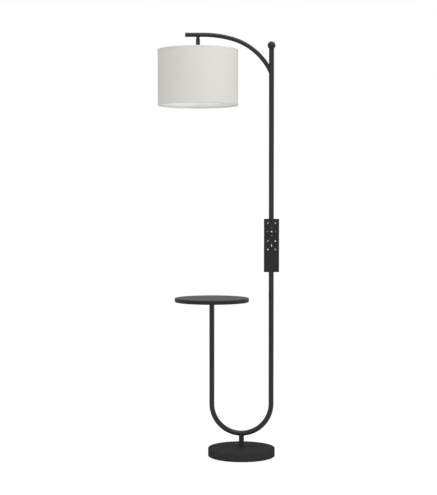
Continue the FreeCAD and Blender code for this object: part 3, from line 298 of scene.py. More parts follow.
# ---- materials
class Finish:
    """A Principled material in object space, with helpers that add its detail."""

    def __init__(self, name, colour, roughness, specular=0.5, **inputs):
        self.material = bpy.data.materials.new(name)
        self.material.use_nodes = True
        self.nodes = self.material.node_tree.nodes
        self.links = self.material.node_tree.links
        self.shader = self.nodes["Principled BSDF"]
        self.colour = colour
        inputs.update(Base_Color=(*colour, 1.0), Roughness=roughness, Specular_IOR_Level=specular)
        for socket, value in inputs.items():
            self.shader.inputs[socket.replace("_", " ")].default_value = value
        self.bump = None

    def add(self, kind, **values):
        node = self.nodes.new(kind)
        for name, value in values.items():
            if name in node.inputs:
                node.inputs[name].default_value = value
            else:
                setattr(node, name.lower().replace(" ", "_"), value)
        return node

    def space(self, stretch=(1.0, 1.0, 1.0), uv=False):
        """Coordinates in metres: the object's own, or its UV map's."""
        source = self.add("ShaderNodeTexCoord").outputs["UV" if uv else "Object"]
        mapping = self.add("ShaderNodeMapping")
        mapping.inputs["Scale"].default_value = stretch
        self.links.new(source, mapping.inputs["Vector"])
        return mapping.outputs["Vector"]

    def noise(self, size, detail=3.0, stretch=(1.0, 1.0, 1.0), uv=False):
        """Noise whose blotches are about that size, in metres."""
        texture = self.add("ShaderNodeTexNoise", Scale=0.5 / size, Detail=detail)
        self.links.new(self.space(stretch, uv), texture.inputs["Vector"])
        return texture.outputs["Fac"]

    def spread(self, value, low_value, high_value):
        """Maps 0.3-0.7 of a noise to a range."""
        node = self.nodes.new("ShaderNodeMapRange")
        for place, number in ((1, 0.3), (2, 0.7), (3, low_value), (4, high_value)):
            node.inputs[place].default_value = number
        self.links.new(value, node.inputs[0])
        return node.outputs[0]

    def computed(self, operation, *values):
        """Output of a Math node that takes outputs and numbers."""
        node = self.add("ShaderNodeMath", operation=operation)
        for place, value in enumerate(values):
            if isinstance(value, float):
                node.inputs[place].default_value = value
            else:
                self.links.new(value, node.inputs[place])
        return node.outputs[0]

    def between(self, share, first, second):
        """Base colour that runs from one colour to another."""
        mix = self.add("ShaderNodeMix", data_type="RGBA")
        mix.inputs[6].default_value = (*first, 1.0)
        mix.inputs[7].default_value = (*second, 1.0)
        self.links.new(share, mix.inputs[0])
        self.links.new(mix.outputs[2], self.shader.inputs["Base Color"])
        return self

    def tinted(self, value, amount):
        """Colour that follows a noise by the given share, up and down."""
        return self.between(self.spread(value, 0.0, 1.0), [c * (1 - amount) for c in self.colour],
                            [min(1.0, c * (1 + amount)) for c in self.colour])

    def mottled(self, size, amount):
        return self.tinted(self.noise(size), amount)

    def worn(self, size, low_value, high_value):
        """Roughness that varies over the surface."""
        self.links.new(self.spread(self.noise(size), low_value, high_value),
                       self.shader.inputs["Roughness"])
        return self

    def relief(self, height, depth):
        """Adds a bump of that depth, in metres, on top of what is there."""
        bump = self.add("ShaderNodeBump", Strength=1.0, Distance=depth)
        self.links.new(height, bump.inputs["Height"])
        if self.bump:
            self.links.new(self.bump.outputs["Normal"], bump.inputs["Normal"])
        self.links.new(bump.outputs["Normal"], self.shader.inputs["Normal"])
        self.bump = bump
        return self

    def grain(self, size, depth, **options):
        return self.relief(self.noise(size, **options), depth)


def powder_coat(name, colour, roughness, specular, grain, gloss=0.0):
    finish = Finish(name, colour, roughness, specular,
                    Coat_Weight=gloss, Coat_Roughness=COAT_ROUGHNESS)
    finish.mottled(30 * MM, 0.06).worn(12 * MM, roughness - 0.04, roughness + 0.04)
    return finish.grain(grain, 0.035 * MM, detail=4.0).grain(6 * grain, 0.05 * MM).material


def simple(name, colour, roughness, specular, blotch, grain, detail=3.0, **inputs):
    """Slightly mottled and grained; blotch is (size, share) and grain (size, depth), in mm."""
    finish = Finish(name, colour, roughness, specular, **inputs)
    finish.mottled(blotch[0] * MM, blotch[1])
    return finish.grain(grain[0] * MM, grain[1] * MM, detail=detail).material


def moulded(name, colour, roughness, specular, grain=0.35):
    return simple(name, colour, roughness, specular, (18, 0.05), (grain, 0.02), 2.0)


def plated(name, colour, roughness):
    finish = Finish(name, colour, roughness, Metallic=1.0)
    finish.mottled(9 * MM, 0.08).worn(4 * MM, roughness - 0.08, roughness + 0.1)
    return finish.grain(0.8 * MM, 0.01 * MM).material


def table_lacquer():
    """Satin black lacquer: nearly smooth, with a faint orange peel."""
    finish = Finish("table_lacquer", (0.018, 0.018, 0.0185), 0.58, 0.22)
    finish.mottled(45 * MM, 0.05).worn(30 * MM, 0.55, 0.61)
    return finish.grain(3.0 * MM, 0.01 * MM).grain(0.5 * MM, 0.004 * MM).material


def woven(name, colour):
    """Plain weave of slightly uneven threads, drawn in the UV map's metres."""
    finish = Finish(name, colour, 0.92, 0.15, Sheen_Weight=0.12, Sheen_Roughness=0.6)
    threads = []
    for direction in ("X", "Y"):            # warp and weft
        wave = finish.add("ShaderNodeTexWave", Scale=THREAD_SCALE, Distortion=1.2, Detail=1.0)
        wave.inputs["Detail Scale"].default_value = 0.6
        wave.bands_direction = direction
        finish.links.new(finish.space(uv=True), wave.inputs["Vector"])
        threads.append(wave.outputs["Fac"])
    crossing = finish.computed("MAXIMUM", *threads)
    slubs = finish.noise(2.2 * MM, stretch=(0.12, 1.0, 1.0), uv=True)
    streaks = finish.noise(1.6 * MM, stretch=(1.0, 0.1, 1.0), uv=True)
    uneven = finish.computed("MULTIPLY", finish.computed("ADD", slubs, streaks), 0.5)
    finish.tinted(uneven, 0.02).relief(crossing, 0.10 * MM)
    return finish.relief(uneven, 0.05 * MM).material


def circuit_board():
    """Green solder mask over faint tracks."""
    finish = Finish("circuit_board", (0.02, 0.14, 0.06), 0.35, 0.5)
    tracks = finish.add("ShaderNodeTexVoronoi", Scale=160.0)
    tracks.distance = "CHEBYCHEV"
    finish.links.new(finish.space(), tracks.inputs["Vector"])
    distance = tracks.outputs["Distance"]
    finish.between(distance, (0.03, 0.20, 0.09), (0.015, 0.11, 0.05))
    return finish.relief(distance, 0.03 * MM).material


def cell_wrap():
    """Plain shrink wrap: dark, with a lighter band over the upper third of the cells."""
    finish = Finish("cell_wrap", (0.05, 0.05, 0.055), 0.3, 0.5)
    bottom, top = heights_of("battery_cells")
    place = finish.add("ShaderNodeSeparateXYZ")
    finish.links.new(finish.space(), place.inputs[0])
    above = finish.computed("GREATER_THAN", place.outputs["Z"], bottom + (top - bottom) * 0.68)
    finish.between(above, finish.colour, (0.42, 0.42, 0.43))
    return finish.grain(0.6 * MM, 0.01 * MM).material


def printed_ink(name, level):
    return simple(name, (level, level, level), 0.6, 0.3, (1.5, 0.04), (0.3, 0.01))


tube_coat = powder_coat("tube_coat", (0.014, 0.014, 0.0143), 0.4, 0.05, 0.5 * MM, gloss=0.5)
base_coat = powder_coat("base_coat", (0.038, 0.038, 0.0385), 0.92, 0.01, 0.8 * MM)
black_moulding = moulded("black_moulding", (0.016, 0.016, 0.017), 0.55, 0.25)
remote_moulding = moulded("remote_moulding", (0.019, 0.019, 0.020), 0.65, 0.2)
key_moulding = moulded("key_moulding", (0.017, 0.017, 0.018), 0.55, 0.2, 0.25)
white_moulding = moulded("white_moulding", (0.82, 0.82, 0.81), 0.4, 0.5, 0.6)
grey_rubber = moulded("grey_rubber", (0.28, 0.28, 0.29), 0.7, 0.3)
zinc = plated("zinc", (0.55, 0.55, 0.56), 0.38)
nickel = plated("nickel", (0.66, 0.65, 0.63), 0.28)
brass = plated("brass", (0.72, 0.52, 0.22), 0.3)
cloth = woven("shade_cloth", (0.73, 0.718, 0.678))
casting = simple("rough_casting", (0.10, 0.10, 0.105), 0.8, 0.3, (14, 0.25), (1.6, 0.25), 6.0)
foam = simple("foam_pad", (0.022, 0.022, 0.023), 0.95, 0.2, (8, 0.15), (0.9, 0.2), 5.0)
glaze = simple("glazed_ceramic", (0.80, 0.78, 0.73), 0.18, 0.5, (5, 0.03), (2.5, 0.02))
enamel = simple("enamelled_wire", (0.78, 0.78, 0.76), 0.35, 0.5, (10, 0.03), (1.5, 0.02))
film = simple("backing_film", (0.93, 0.925, 0.91), 0.5, 0.4, (40, 0.02), (4, 0.03))
frosted = simple("frosted_dome", (0.86, 0.86, 0.84), 0.45, 0.5, (12, 0.02), (0.4, 0.01),
                 Subsurface_Weight=0.2, Subsurface_Radius=(0.004, 0.004, 0.004))
white_ink = printed_ink("white_ink", 0.80)
grey_ink = printed_ink("grey_ink", 0.50)

CARRIED_OVER = (
    (base_coat, ["base_cover"]),
    (casting, ["base_weight"]),
    (foam, ["base_pad"]),
    (zinc, ["base_plate", "plate_screws", "base_washer", "base_nut", "base_nipple", "neck_plug",
            "joint_socket", "joint_stud", "finial_plug", "stem_nipple", "strike_plate"]),
    (tube_coat, ["table_flange", "ball_finial", "stem_boss", "stem_sleeve"]),
    (table_lacquer(), ["table_top"]),
    (black_moulding, ["cord_bushing", "arm_end_cap", "holder_cap", "clip_on_pole"]),
    (glaze, ["holder_core"]),
    (enamel, ["shade_spider", "shade_bottom_hoop"]),
    (nickel, ["clip_magnets", "battery_contacts"]),
    (remote_moulding, ["remote_front", "remote_back", "battery_door"]),
    (circuit_board(), ["remote_board"]),
    (grey_rubber, ["keypad_membrane"]),
    (cell_wrap(), ["battery_cells"]),
    (key_moulding, [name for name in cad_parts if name.startswith("key_")]),
)


def paint(node, material):
    """Gives a carried-over node its material."""
    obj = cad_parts[node]
    for place in obj.material_slots:
        place.link = "OBJECT"
        place.material = material


# ---- tubes
def ring(centre, tangent, radius):
    """Circle of points round a path that lies in the XZ plane."""
    across = Vector((0, 1, 0))
    normal = across.cross(tangent).normalized()
    return [centre + radius * (math.cos(a) * normal + math.sin(a) * across)
            for a in angles(TUBE_SIDES)]


def straight(start, end, steps):
    """Straight run, as (place, tangent) pairs."""
    tangent = (end - start).normalized()
    return [(start.lerp(end, i / steps), tangent) for i in range(steps + 1)]


def bend(centre, radius, start, end, steps):
    """Arc in the XZ plane, from one angle to another, as (place, tangent) pairs."""
    stations = []
    turn = 1 if end > start else -1
    for a in levels(start, end, steps):
        outward = Vector((math.cos(a), 0, math.sin(a)))
        stations.append((centre + radius * outward, turn * Vector((-math.sin(a), 0, math.cos(a)))))
    return stations


def open_tube(name, stations):
    """Tube of the pole's size, with its bore and small chamfers on both ends."""
    first, last = stations[0], stations[-1]
    outer = [ring(p, t, POLE_RADIUS) for p, t in stations]
    inner = [ring(p, t, POLE_RADIUS - TUBE_WALL) for p, t in stations]
    start_lip = ring(*first, POLE_RADIUS - END_CHAMFER)
    end_lip = ring(*last, POLE_RADIUS - END_CHAMFER)
    outer[0] = ring(first[0] + END_CHAMFER * first[1], first[1], POLE_RADIUS)
    outer[-1] = ring(last[0] - END_CHAMFER * last[1], last[1], POLE_RADIUS)
    return skin(name, [start_lip] + outer + [end_lip] + inner[::-1], closed=True)


def u_tube():
    """Down the table's leg, round the bend and up the pole's leg."""
    left_top = Vector((TABLE_X, 0, low("table_flange").z + TABLE_SPIGOT))
    right_top = Vector((POLE_X, 0, high("u_tube").z))
    centre = Vector((0, 0, BEND_CENTRE_Z))
    stations = straight(left_top, Vector((TABLE_X, 0, BEND_CENTRE_Z)), 4)[:-1]
    stations += bend(centre, POLE_X, math.pi, 2 * math.pi, U_STEPS)
    stations += straight(Vector((POLE_X, 0, BEND_CENTRE_Z)), right_top, 6)[1:]
    return open_tube("bent_u_tube", stations)


def arm_stations():
    """From the free tip to the pole's axis, as (place, tangent) pairs."""
    tip = Vector((low("arm_end_cap").x + ARM_CAP, 0, ARM_AXIS_Z))
    bend_x = POLE_X - ARM_STRAIGHT_END
    wide_centre = Vector((bend_x, 0, ARM_AXIS_Z - ARM_UPPER_RADIUS))
    left = ARM_STRAIGHT_END - ARM_UPPER_RADIUS * math.sin(ARM_UPPER_SWEEP)
    tight_radius = left / (math.sin(ARM_ENTRY_SLOPE) - math.sin(ARM_UPPER_SWEEP))
    top = math.pi / 2
    wide = bend(wide_centre, ARM_UPPER_RADIUS, top, top - ARM_UPPER_SWEEP, WIDE_STEPS)
    change, slope = wide[-1]
    inward = Vector((slope.z, 0, -slope.x))
    tight_centre = change + tight_radius * inward
    tight = bend(tight_centre, tight_radius, top - ARM_UPPER_SWEEP, top - ARM_ENTRY_SLOPE,
                 TIGHT_STEPS)
    return straight(tip, wide[0][0], 4)[:-1] + wide[:-1] + tight


def hit_pole(stations, index, radius):
    """Where the line at one place round the arm meets the pole's surface, as (place, station)."""
    before = ring(*stations[-1], radius)[index]
    for station in range(len(stations) - 1, 0, -1):
        here = ring(*stations[station - 1], radius)[index]
        away = math.hypot(here.x - POLE_X, here.y)
        if away >= POLE_RADIUS:
            inside = math.hypot(before.x - POLE_X, before.y)
            share = (away - POLE_RADIUS) / (away - inside)
            return here.lerp(before, share), station - 1
        before = here
    raise ValueError("the arm doesn't reach the pole")


def arm_tube():
    """Returns the arm's mesh and the line along which it meets the pole."""
    stations = arm_stations()
    walls = []
    seam = []
    for radius in (ARM_RADIUS, ARM_RADIUS - TUBE_WALL):
        hits = [hit_pole(stations, index, radius) for index in range(TUBE_SIDES)]
        clear = min(station for _, station in hits) - 1
        loops = [ring(p, t, radius) for p, t in stations[:clear + 1]]
        lines = [[ring(*stations[s], radius)[index] for s in range(clear, station + 1)] + [end]
                 for index, (end, station) in enumerate(hits)]
        for row in range(1, ARM_END_ROWS + 1):
            loops.append([along_line(line, row / ARM_END_ROWS) for line in lines])
        walls.append(loops)
        seam = seam or [end for end, _ in hits]
    outer, inner = walls
    tip, direction = stations[0]
    outer[0] = ring(tip + END_CHAMFER * direction, direction, ARM_RADIUS)
    lip = ring(tip, direction, ARM_RADIUS - END_CHAMFER)
    return skin("bent_arm_tube", [lip] + outer + inner[::-1], closed=True), seam


def along_line(points, share):
    """Point at a share of the length of a line of points."""
    lengths = distances(points)
    wanted = share * lengths[-1]
    for index in range(1, len(points)):
        if lengths[index] >= wanted - 1e-12:
            step = lengths[index] - lengths[index - 1]
            part = (wanted - lengths[index - 1]) / step if step > 0 else 0.0
            return Vector(points[index - 1]).lerp(Vector(points[index]), part)
    return Vector(points[-1])


def weld(name, seam, radius):
    """Rippled bead along a closed line of points."""
    line = [*seam, seam[0]]
    length = distances(line)[-1]
    steps = max(96, int(length / WELD_RIPPLE_PITCH * WELD_STEPS))
    centres = [along_line(line, i / steps) for i in range(steps)]
    loops = []
    for index, centre in enumerate(centres):
        tangent = (centres[(index + 1) % steps] - centres[index - 1]).normalized()
        side = tangent.cross(Vector((0, 0, 1)))
        side = side.normalized() if side.length > 0.01 else Vector((1, 0, 0))
        other = tangent.cross(side).normalized()
        phase = 2 * math.pi * length * index / steps / WELD_RIPPLE_PITCH
        r = radius + WELD_RIPPLE * math.sin(phase)
        r += WELD_UNEVENNESS * radius * noise.noise(centre / WELD_LUMP)
        loops.append([centre + r * (math.cos(a) * side + math.sin(a) * other)
                      for a in angles(WELD_SIDES)])
    return skin(name, loops, closed=True)


def neck():
    """Returns the neck's mesh, cut to sit against the U, and the line where they meet."""
    bottom = low("base_neck").z

    def under_u(x, y):
        to_surface = POLE_X + math.sqrt(POLE_RADIUS ** 2 - min(y * y, POLE_RADIUS ** 2))
        return BEND_CENTRE_Z - math.sqrt(to_surface ** 2 - x ** 2)

    def round_line(radius, height):
        return [Vector((x, y, height(x, y))) for x, y in
                ((radius * math.cos(a), radius * math.sin(a)) for a in angles(TUBE_SIDES))]

    outer_top, inner_top = (round_line(r, under_u) for r in (POLE_RADIUS, POLE_RADIUS - TUBE_WALL))
    lip = round_line(POLE_RADIUS - END_CHAMFER, lambda x, y: bottom)
    foot = round_line(POLE_RADIUS, lambda x, y: bottom + END_CHAMFER)
    inner_foot = round_line(POLE_RADIUS - TUBE_WALL, lambda x, y: bottom)
    return skin("neck_tube", [lip, foot, outer_top, inner_top, inner_foot], closed=True), outer_top


def boss_seam():
    """Line where the stem's boss meets the underside of the arm."""
    radius = radius_of("stem_boss")
    points = []
    for a in angles(TUBE_SIDES):
        y = radius * math.sin(a)
        under = ARM_AXIS_Z - math.sqrt(ARM_RADIUS ** 2 - y * y)
        points.append(Vector((STEM_X + radius * math.cos(a), y, under)))
    return points


def make_tubes():
    foot, top = (Vector((POLE_X, 0, end("upper_pole").z)) for end in (low, high))
    pole = open_tube("straight_pole", straight(foot, top, 12))
    arm, arm_seam = arm_tube()
    neck_mesh, neck_seam = neck()
    # The neck has the same powder coat as the tubes but takes the base's paler coat: painted light
    # that lifts it where the dark base below shades it.
    for node, mesh, coat in (("u_tube", u_tube(), tube_coat), ("upper_pole", pole, tube_coat),
                             ("arm_tube", arm, tube_coat), ("base_neck", neck_mesh, base_coat)):
        piece(mesh, coat, replaced=[node])
    for name, seam, radius in (("weld_arm_to_pole", arm_seam, WELD_RADIUS),
                               ("weld_neck_to_u", neck_seam, WELD_RADIUS),
                               ("weld_boss_to_arm", boss_seam(), WELD_RADIUS * SMALL_WELD)):
        piece(weld(name, seam, radius), tube_coat)


# ---- shade
def turn_between(angle, other):
    """Smaller angle between two directions."""
    return abs((angle - other + math.pi) % (2 * math.pi) - math.pi)


def seam_step(angle):
    """How far the overlapped end of the cloth stands out at an angle."""
    half = SEAM_OVERLAP / 2 / SHADE_RADIUS
    ramp = STEP_RISE / SHADE_RADIUS
    return CLOTH_THICKNESS * eased((half + ramp - turn_between(angle, SEAM_ANGLE)) / ramp)


def shade_wall(name, inner, outer, overlap):
    """Sheet rolled into a drum, whose ends overlap at the back."""
    start = SEAM_ANGLE - SEAM_OVERLAP / 2 / SHADE_RADIUS
    sweep = 2 * math.pi + (SEAM_OVERLAP if overlap else -BACKING_GAP) / SHADE_RADIUS
    bottom = SHADE_LOW + TRIM_THICKNESS
    top = SHADE_HIGH - TRIM_THICKNESS
    heights = levels(bottom, top, SHADE_ROWS)
    loops = []
    for column in range(SHADE_COLUMNS + 1):
        angle = start + sweep * column / SHADE_COLUMNS
        past = (angle - start - 2 * math.pi) * SHADE_RADIUS + OVERLAP_RISE
        lift = (outer - inner + LAYER_GAP) * eased(past / OVERLAP_RISE) if overlap else 0.0
        sides = ((outer + lift, heights), (inner + lift, heights[::-1]))
        loops.append([(STEM_X + radius * math.cos(angle), radius * math.sin(angle), z)
                      for radius, line in sides for z in line])
    return skin(name, loops, capped=True)


def trim(name, rim, inward):
    """Strip of cloth folded over a rim and its hoop; at the top it is notched round the wires."""
    outer = SHADE_RADIUS - TRIM_THICKNESS / 2
    fold = (HOOP_WIRE + BACKING_THICKNESS * 2 + TRIM_THICKNESS) / 2 + FOLD_SLACK
    inner = outer - 2 * fold
    line = [(outer, z) for z in levels(TRIM_HEIGHT, fold, HEM_STEPS)[:-1]]
    line += [(outer - fold + fold * math.cos(a), fold - fold * math.sin(a) + TRIM_THICKNESS / 2)
             for a in levels(0.0, math.pi, FOLD_STEPS)]
    line += [(inner, z + TRIM_THICKNESS / 2) for z in levels(fold, TRIM_HEIGHT, HEM_STEPS)[1:]]
    points = [Vector((r, z, 0)) for r, z in line]
    total = distances(points)[-1]
    notch_end = total - (TRIM_HEIGHT - fold) - math.pi / 2 * fold * NOTCH_SHARE
    loops = []
    for angle in angles(SHADE_COLUMNS):
        end = total
        if inward < 0:
            near = min(turn_between(angle, wire) for wire in SPIDER_ANGLES)
            gap = near * inner - (HOOP_WIRE / 2 + NOTCH_CLEARANCE)
            end = notch_end + (total - notch_end) * clamped(gap / NOTCH_RAMP)
        wave = TRIM_WAVE * noise.noise((*rotated((WAVE_DENSITY, 0), angle), rim))
        places = [along_line(points, share) for share in levels(0.0, end / total, TRIM_SAMPLES)]
        outside, inside = [], []
        for k, place in enumerate(places):
            before, after = places[max(k - 1, 0)], places[min(k + 1, TRIM_SAMPLES)]
            tangent = (after - before).normalized()
            normal = Vector((-tangent.y, tangent.x, 0))
            outside.append(place + normal * TRIM_THICKNESS / 2)
            inside.append(place - normal * TRIM_THICKNESS / 2)
        section = []
        for k, (r, z, _) in enumerate(outside + inside[::-1]):
            near_edge = 1 - k / EDGE_SAMPLES
            if k > TRIM_SAMPLES:
                near_edge = 1 - (2 * TRIM_SAMPLES + 1 - k) / EDGE_SAMPLES
            out = r + (seam_step(angle) if r > inner + fold else 0)
            section.append((STEM_X + out * math.cos(angle), out * math.sin(angle),
                            rim + inward * (z + wave * clamped(near_edge))))
        loops.append(section)
    return skin(name, loops, closed=True)


def make_shade():
    cloth_outer = SHADE_RADIUS - TRIM_THICKNESS - TRIM_GAP
    cloth_inner = cloth_outer - CLOTH_THICKNESS
    backing_outer = cloth_inner - LAYER_GAP
    cloth_wall = shade_wall("shade_cloth", cloth_inner, cloth_outer, True)
    cloth_piece = piece(cloth_wall, cloth, replaced=["shade_drum"])
    film_wall = shade_wall("shade_backing", backing_outer - BACKING_THICKNESS, backing_outer, False)
    backing = piece(film_wall, film)
    trims = [piece(trim(name, rim, inward), cloth, replaced=["shade_trims"])
             for name, rim, inward in (("shade_trim_low", SHADE_LOW, 1),
                                       ("shade_trim_high", SHADE_HIGH, -1))]


# ---- lamp holder and bulb
def thread_wave(height, angle, pitch):
    """0 at a thread's root and 1 at its crest."""
    return 0.5 + 0.5 * math.cos(2 * math.pi * (height / pitch - angle / (2 * math.pi)))


def fade(height, start, end, run):
    """1 inside a stretch, falling to 0 over a short run at both ends."""
    return clamped(min(height - start, end - height) / run)


def thread(start, end, run, pitch, depth):
    """Shape for turned() with a rounded thread; depth(radius) says how deep it is cut there."""
    def shape(radius, angle, height):
        cut = depth(radius) * fade(height, start, end, run)
        return radius - cut * (1 - thread_wave(height, angle, pitch))
    return shape


def holder_body():
    """Body with its wide top, and a skirt threaded for the clamp ring."""
    bottom, top = heights_of("holder_body")
    shoulder = high("clamp_ring").z + SPIDER_RING
    outer = radius_of("holder_body")
    skirt, bore, pitch, depth = 20.0 * MM, 15.5 * MM, 2.3 * MM, 0.7 * MM
    core_low = low("holder_core").z
    heights = levels(bottom, shoulder, int((shoulder - bottom) / pitch * 10))
    outline = [(skirt - 0.8 * MM, bottom), *[(skirt, z) for z in heights[1:]]]
    outline += [(outer - 0.5 * MM, shoulder), (outer, shoulder + 0.5 * MM), (outer, top),
                (outer - 2 * MM, top), (outer - 2 * MM, core_low), (bore, core_low), (bore, bottom)]
    shape = thread(bottom, shoulder - 1.0 * MM, 1.5 * MM, pitch,
                   lambda radius: depth if abs(radius - skirt) <= 0.1 * MM else 0.0)
    return turned("holder_body_moulding", outline, STEM_X, sides=120, shape=shape)


def clamp_ring():
    """Ring with grip ribs round its rim."""
    bottom, top = heights_of("clamp_ring")
    outer = radius_of("clamp_ring")
    bore = 20.05 * MM
    ribs, depth = 48, 0.7 * MM
    outline = [(bore, bottom), (outer - 1.2 * MM, bottom), (outer - 0.3 * MM, bottom + 0.9 * MM),
               (outer, bottom + 1.6 * MM), (outer, top - 0.8 * MM), (outer - 0.6 * MM, top),
               (bore, top)]

    def shape(radius, angle, height):
        if radius < outer - 0.7 * MM:
            return radius
        wave = abs(math.sin(angle * ribs / 2))
        return radius - depth * (1 - wave ** 0.6)
    return turned("clamp_ring_ribbed", outline, STEM_X, sides=ribs * 8, shape=shape)


def holder_sleeve():
    """Threaded brass sleeve and the centre tongue."""
    bottom, top = heights_of("holder_contacts")
    outer, wall = radius_of("holder_contacts"), 0.35 * MM
    heights = levels(bottom, top, int((top - bottom) / BULB_PITCH * 12))
    outline = [(outer, z) for z in heights] + [(outer - wall, z) for z in heights[::-1]]
    shape = thread(bottom + 0.4 * MM, top - 0.4 * MM, 1.2 * MM, BULB_PITCH,
                   lambda radius: 0.22 * MM if radius > outer - wall / 2 else 0.2 * MM)
    sleeve = turned("sleeve", outline, STEM_X, sides=96, shape=shape)
    half = 4.5 * MM
    corners = [(-half, top - 1.0 * MM), (half, top - 1.0 * MM), (half, top), (-half, top)]
    loops = [[(STEM_X + x, side * 2 * MM, z) for x, z in corners] for side in (-1, 1)]
    return joined("holder_contact_set", [sleeve, skin("tongue", loops, capped=True)])


def bulb_screw_cap():
    """Threaded shell with its end disc and centre contact."""
    outer, (bottom, tip) = radius_of("bulb_cap"), heights_of("bulb_cap")
    top, depth = tip - 2.0 * MM, 0.8 * MM
    heights = levels(bottom, top - 1.2 * MM, int((top - bottom) / BULB_PITCH * 12))
    outline = [(outer, z) for z in heights]
    outline += [(outer - 0.5 * MM, top - 0.5 * MM), (outer - 1.4 * MM, top),
                (outer - 3 * MM, top + 0.2 * MM), (outer - 6.5 * MM, tip - 0.7 * MM),
                (4.5 * MM, tip - 0.6 * MM), (4.3 * MM, tip - 0.1 * MM), (3.6 * MM, tip), (0.0, tip),
                (0.0, top - 0.6 * MM), (outer - 1.6 * MM, top - 0.6 * MM),
                (outer - 1.6 * MM, bottom)]
    shape = thread(bottom + 2.0 * MM, top - 1.6 * MM, 1.5 * MM, BULB_PITCH,
                   lambda radius: depth if radius >= outer - 0.1 * MM else 0.0)
    return turned("bulb_screw_cap", outline, STEM_X, sides=96, shape=shape)


def bulb_collar():
    """Collar that flares smoothly into the globe, with a fine step at the seam."""
    bottom, top = heights_of("bulb_body")
    wide, narrow, wall = radius_of("bulb_body"), 13.2 * MM, 1.5 * MM
    outside = [(narrow + (wide - narrow) * (0.35 * t + 0.65 * eased(t)), top + (bottom - top) * t)
               for t in levels(0.0, 1.0, 28)]
    outline = [(narrow - 0.6 * MM, top), *outside[1:-1],
               (wide, bottom + 0.4 * MM), (wide - 0.3 * MM, bottom)]
    return turned("bulb_collar", outline + [(r - wall, z) for r, z in outside[::-1]], STEM_X)


def bulb_globe():
    """Thin dome, open towards the collar."""
    top, wall = high("bulb_globe").z, 1.2 * MM
    radius, height = radius_of("bulb_globe"), top - low("bulb_globe").z

    def dome(r, h):
        return [(r * math.sin(a) ** 0.94, top - h * math.cos(a))
                for a in levels(0.0, math.pi / 2, 36)]
    outline = dome(radius, height)[:-1] + [(radius, top - 0.5 * MM), (radius - 0.4 * MM, top)]
    outline += dome(radius - wall, height - wall)[::-1]
    return turned("bulb_globe_frosted", outline, STEM_X, sides=144)


def make_holder_and_bulb():
    piece(holder_body(), black_moulding, replaced=["holder_body"])
    piece(clamp_ring(), black_moulding, replaced=["clamp_ring"])
    piece(holder_sleeve(), brass, replaced=["holder_contacts"])
    piece(bulb_screw_cap(), nickel, "bulb", replaced=["bulb_cap"])
    piece(bulb_collar(), white_moulding, "bulb", replaced=["bulb_body"])
    piece(bulb_globe(), frosted, "bulb", replaced=["bulb_globe"])


# ---- screws
def cross_cutter(reach, width, depth, top):
    """Tapered cross that cuts the driver recess into a screw head."""
    bars = []
    for turn in (0, math.pi / 2):
        loops = []
        for z, grow in ((top - depth, 0.45), (top + 0.3 * MM, 1.0)):
            a, b = reach * grow, width / 2 * (0.6 + 0.4 * grow)
            corners = [(-a, -b), (a, -b), (a, b), (-a, b)]
            loops.append([(*rotated(corner, turn), z) for corner in corners])
        bars.append(skin("bar", loops, capped=True))
    return bars


def screw(name, head_radius, head_height, shank_length, shank_radius, pitch):
    """Pan-head screw with a cross recess; its seat is at z 0, head up and thread down."""
    outline = [(shank_radius, 0), (head_radius - 0.1 * MM, 0), (head_radius, 0.1 * MM)]
    outline += [(head_radius * math.cos(a) ** 0.7, head_height * (0.35 + 0.65 * math.sin(a)))
                for a in levels(0.0, math.pi / 2, 8)[:-1]]
    head = turned("head", outline + [(0, head_height), (0, 0)], sides=40)
    for bar in cross_cutter(head_radius * RECESS_REACH, head_radius * RECESS_WIDTH,
                            head_height * RECESS_DEPTH, head_height):
        head = carve(head, bar)
    heights = levels(0.0, -shank_length, int(shank_length / pitch * 6))

    def shape(radius, angle, height):
        if radius == 0:
            return radius
        taper = min(1.0, (height + shank_length) / (1.5 * shank_radius) + 0.25)
        crest = thread_wave(height, angle, pitch) ** 2
        return radius * taper * (0.78 + 0.22 * crest * fade(height, -shank_length, 0.0, pitch))
    outline = [(0, 0.0), *[(shank_radius, z) for z in heights], (0, -shank_length)]
    return joined(name, [head, turned("shank", outline, sides=32, shape=shape)])


def placed(name, mesh, places, turn):
    """Copies of a mesh at several places, joined into one."""
    copies = []
    for place in places:
        copy = mesh.copy()
        copy.transform(Matrix.Translation(place) @ turn)
        copies.append(copy)
    return joined(name, copies)


def make_screws():
    lo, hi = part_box("table_screws")
    head_radius, head_height = 4.0 * MM, 2.2 * MM
    seat = lo.z + head_height
    places = [Vector((x, y, seat)) for x in (lo.x + head_radius, hi.x - head_radius)
              for y in (lo.y + head_radius, hi.y - head_radius)]
    table_screw = screw("table_screw", head_radius, head_height, hi.z - seat,
                        shank_radius=2.0 * MM, pitch=1.4 * MM)
    table_set = placed("table_screw_set", table_screw, places, Matrix.Rotation(math.pi, 4, "X"))
    piece(table_set, zinc, replaced=["table_screws"])

    lo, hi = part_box("remote_screws")
    head_radius, head_height = 2.1 * MM, 1.4 * MM
    seat = hi.y - head_height
    places = [Vector((x, seat, z)) for x in (lo.x + head_radius, hi.x - head_radius)
              for z in (lo.z + head_radius, hi.z - head_radius)]
    remote_screw = screw("remote_screw", head_radius, head_height, seat - lo.y,
                         shank_radius=1.0 * MM, pitch=0.8 * MM)
    turn = Matrix.Rotation(-math.pi / 2, 4, "X")
    remote_set = placed("remote_screw_set", remote_screw, places, turn)
    piece(remote_set, zinc, "remote", replaced=["remote_screws"])


# ---- icons on the keys
def stroke(points, width, closed=False):
    """Quads along a line of (x, z) points, as lists of corners."""
    line = [Vector(p) for p in points] + ([Vector(points[0])] if closed else [])
    sides = []
    for index, place in enumerate(line):
        before = line[index - 1] if index else (line[-2] if closed else place)
        after = line[index + 1] if index + 1 < len(line) else (line[1] if closed else place)
        tangent = (after - before).normalized()
        offset = Vector((-tangent.y, tangent.x)) * width / 2
        sides.append((place + offset, place - offset))
    return [[a[0], b[0], b[1], a[1]] for a, b in zip(sides, sides[1:])]


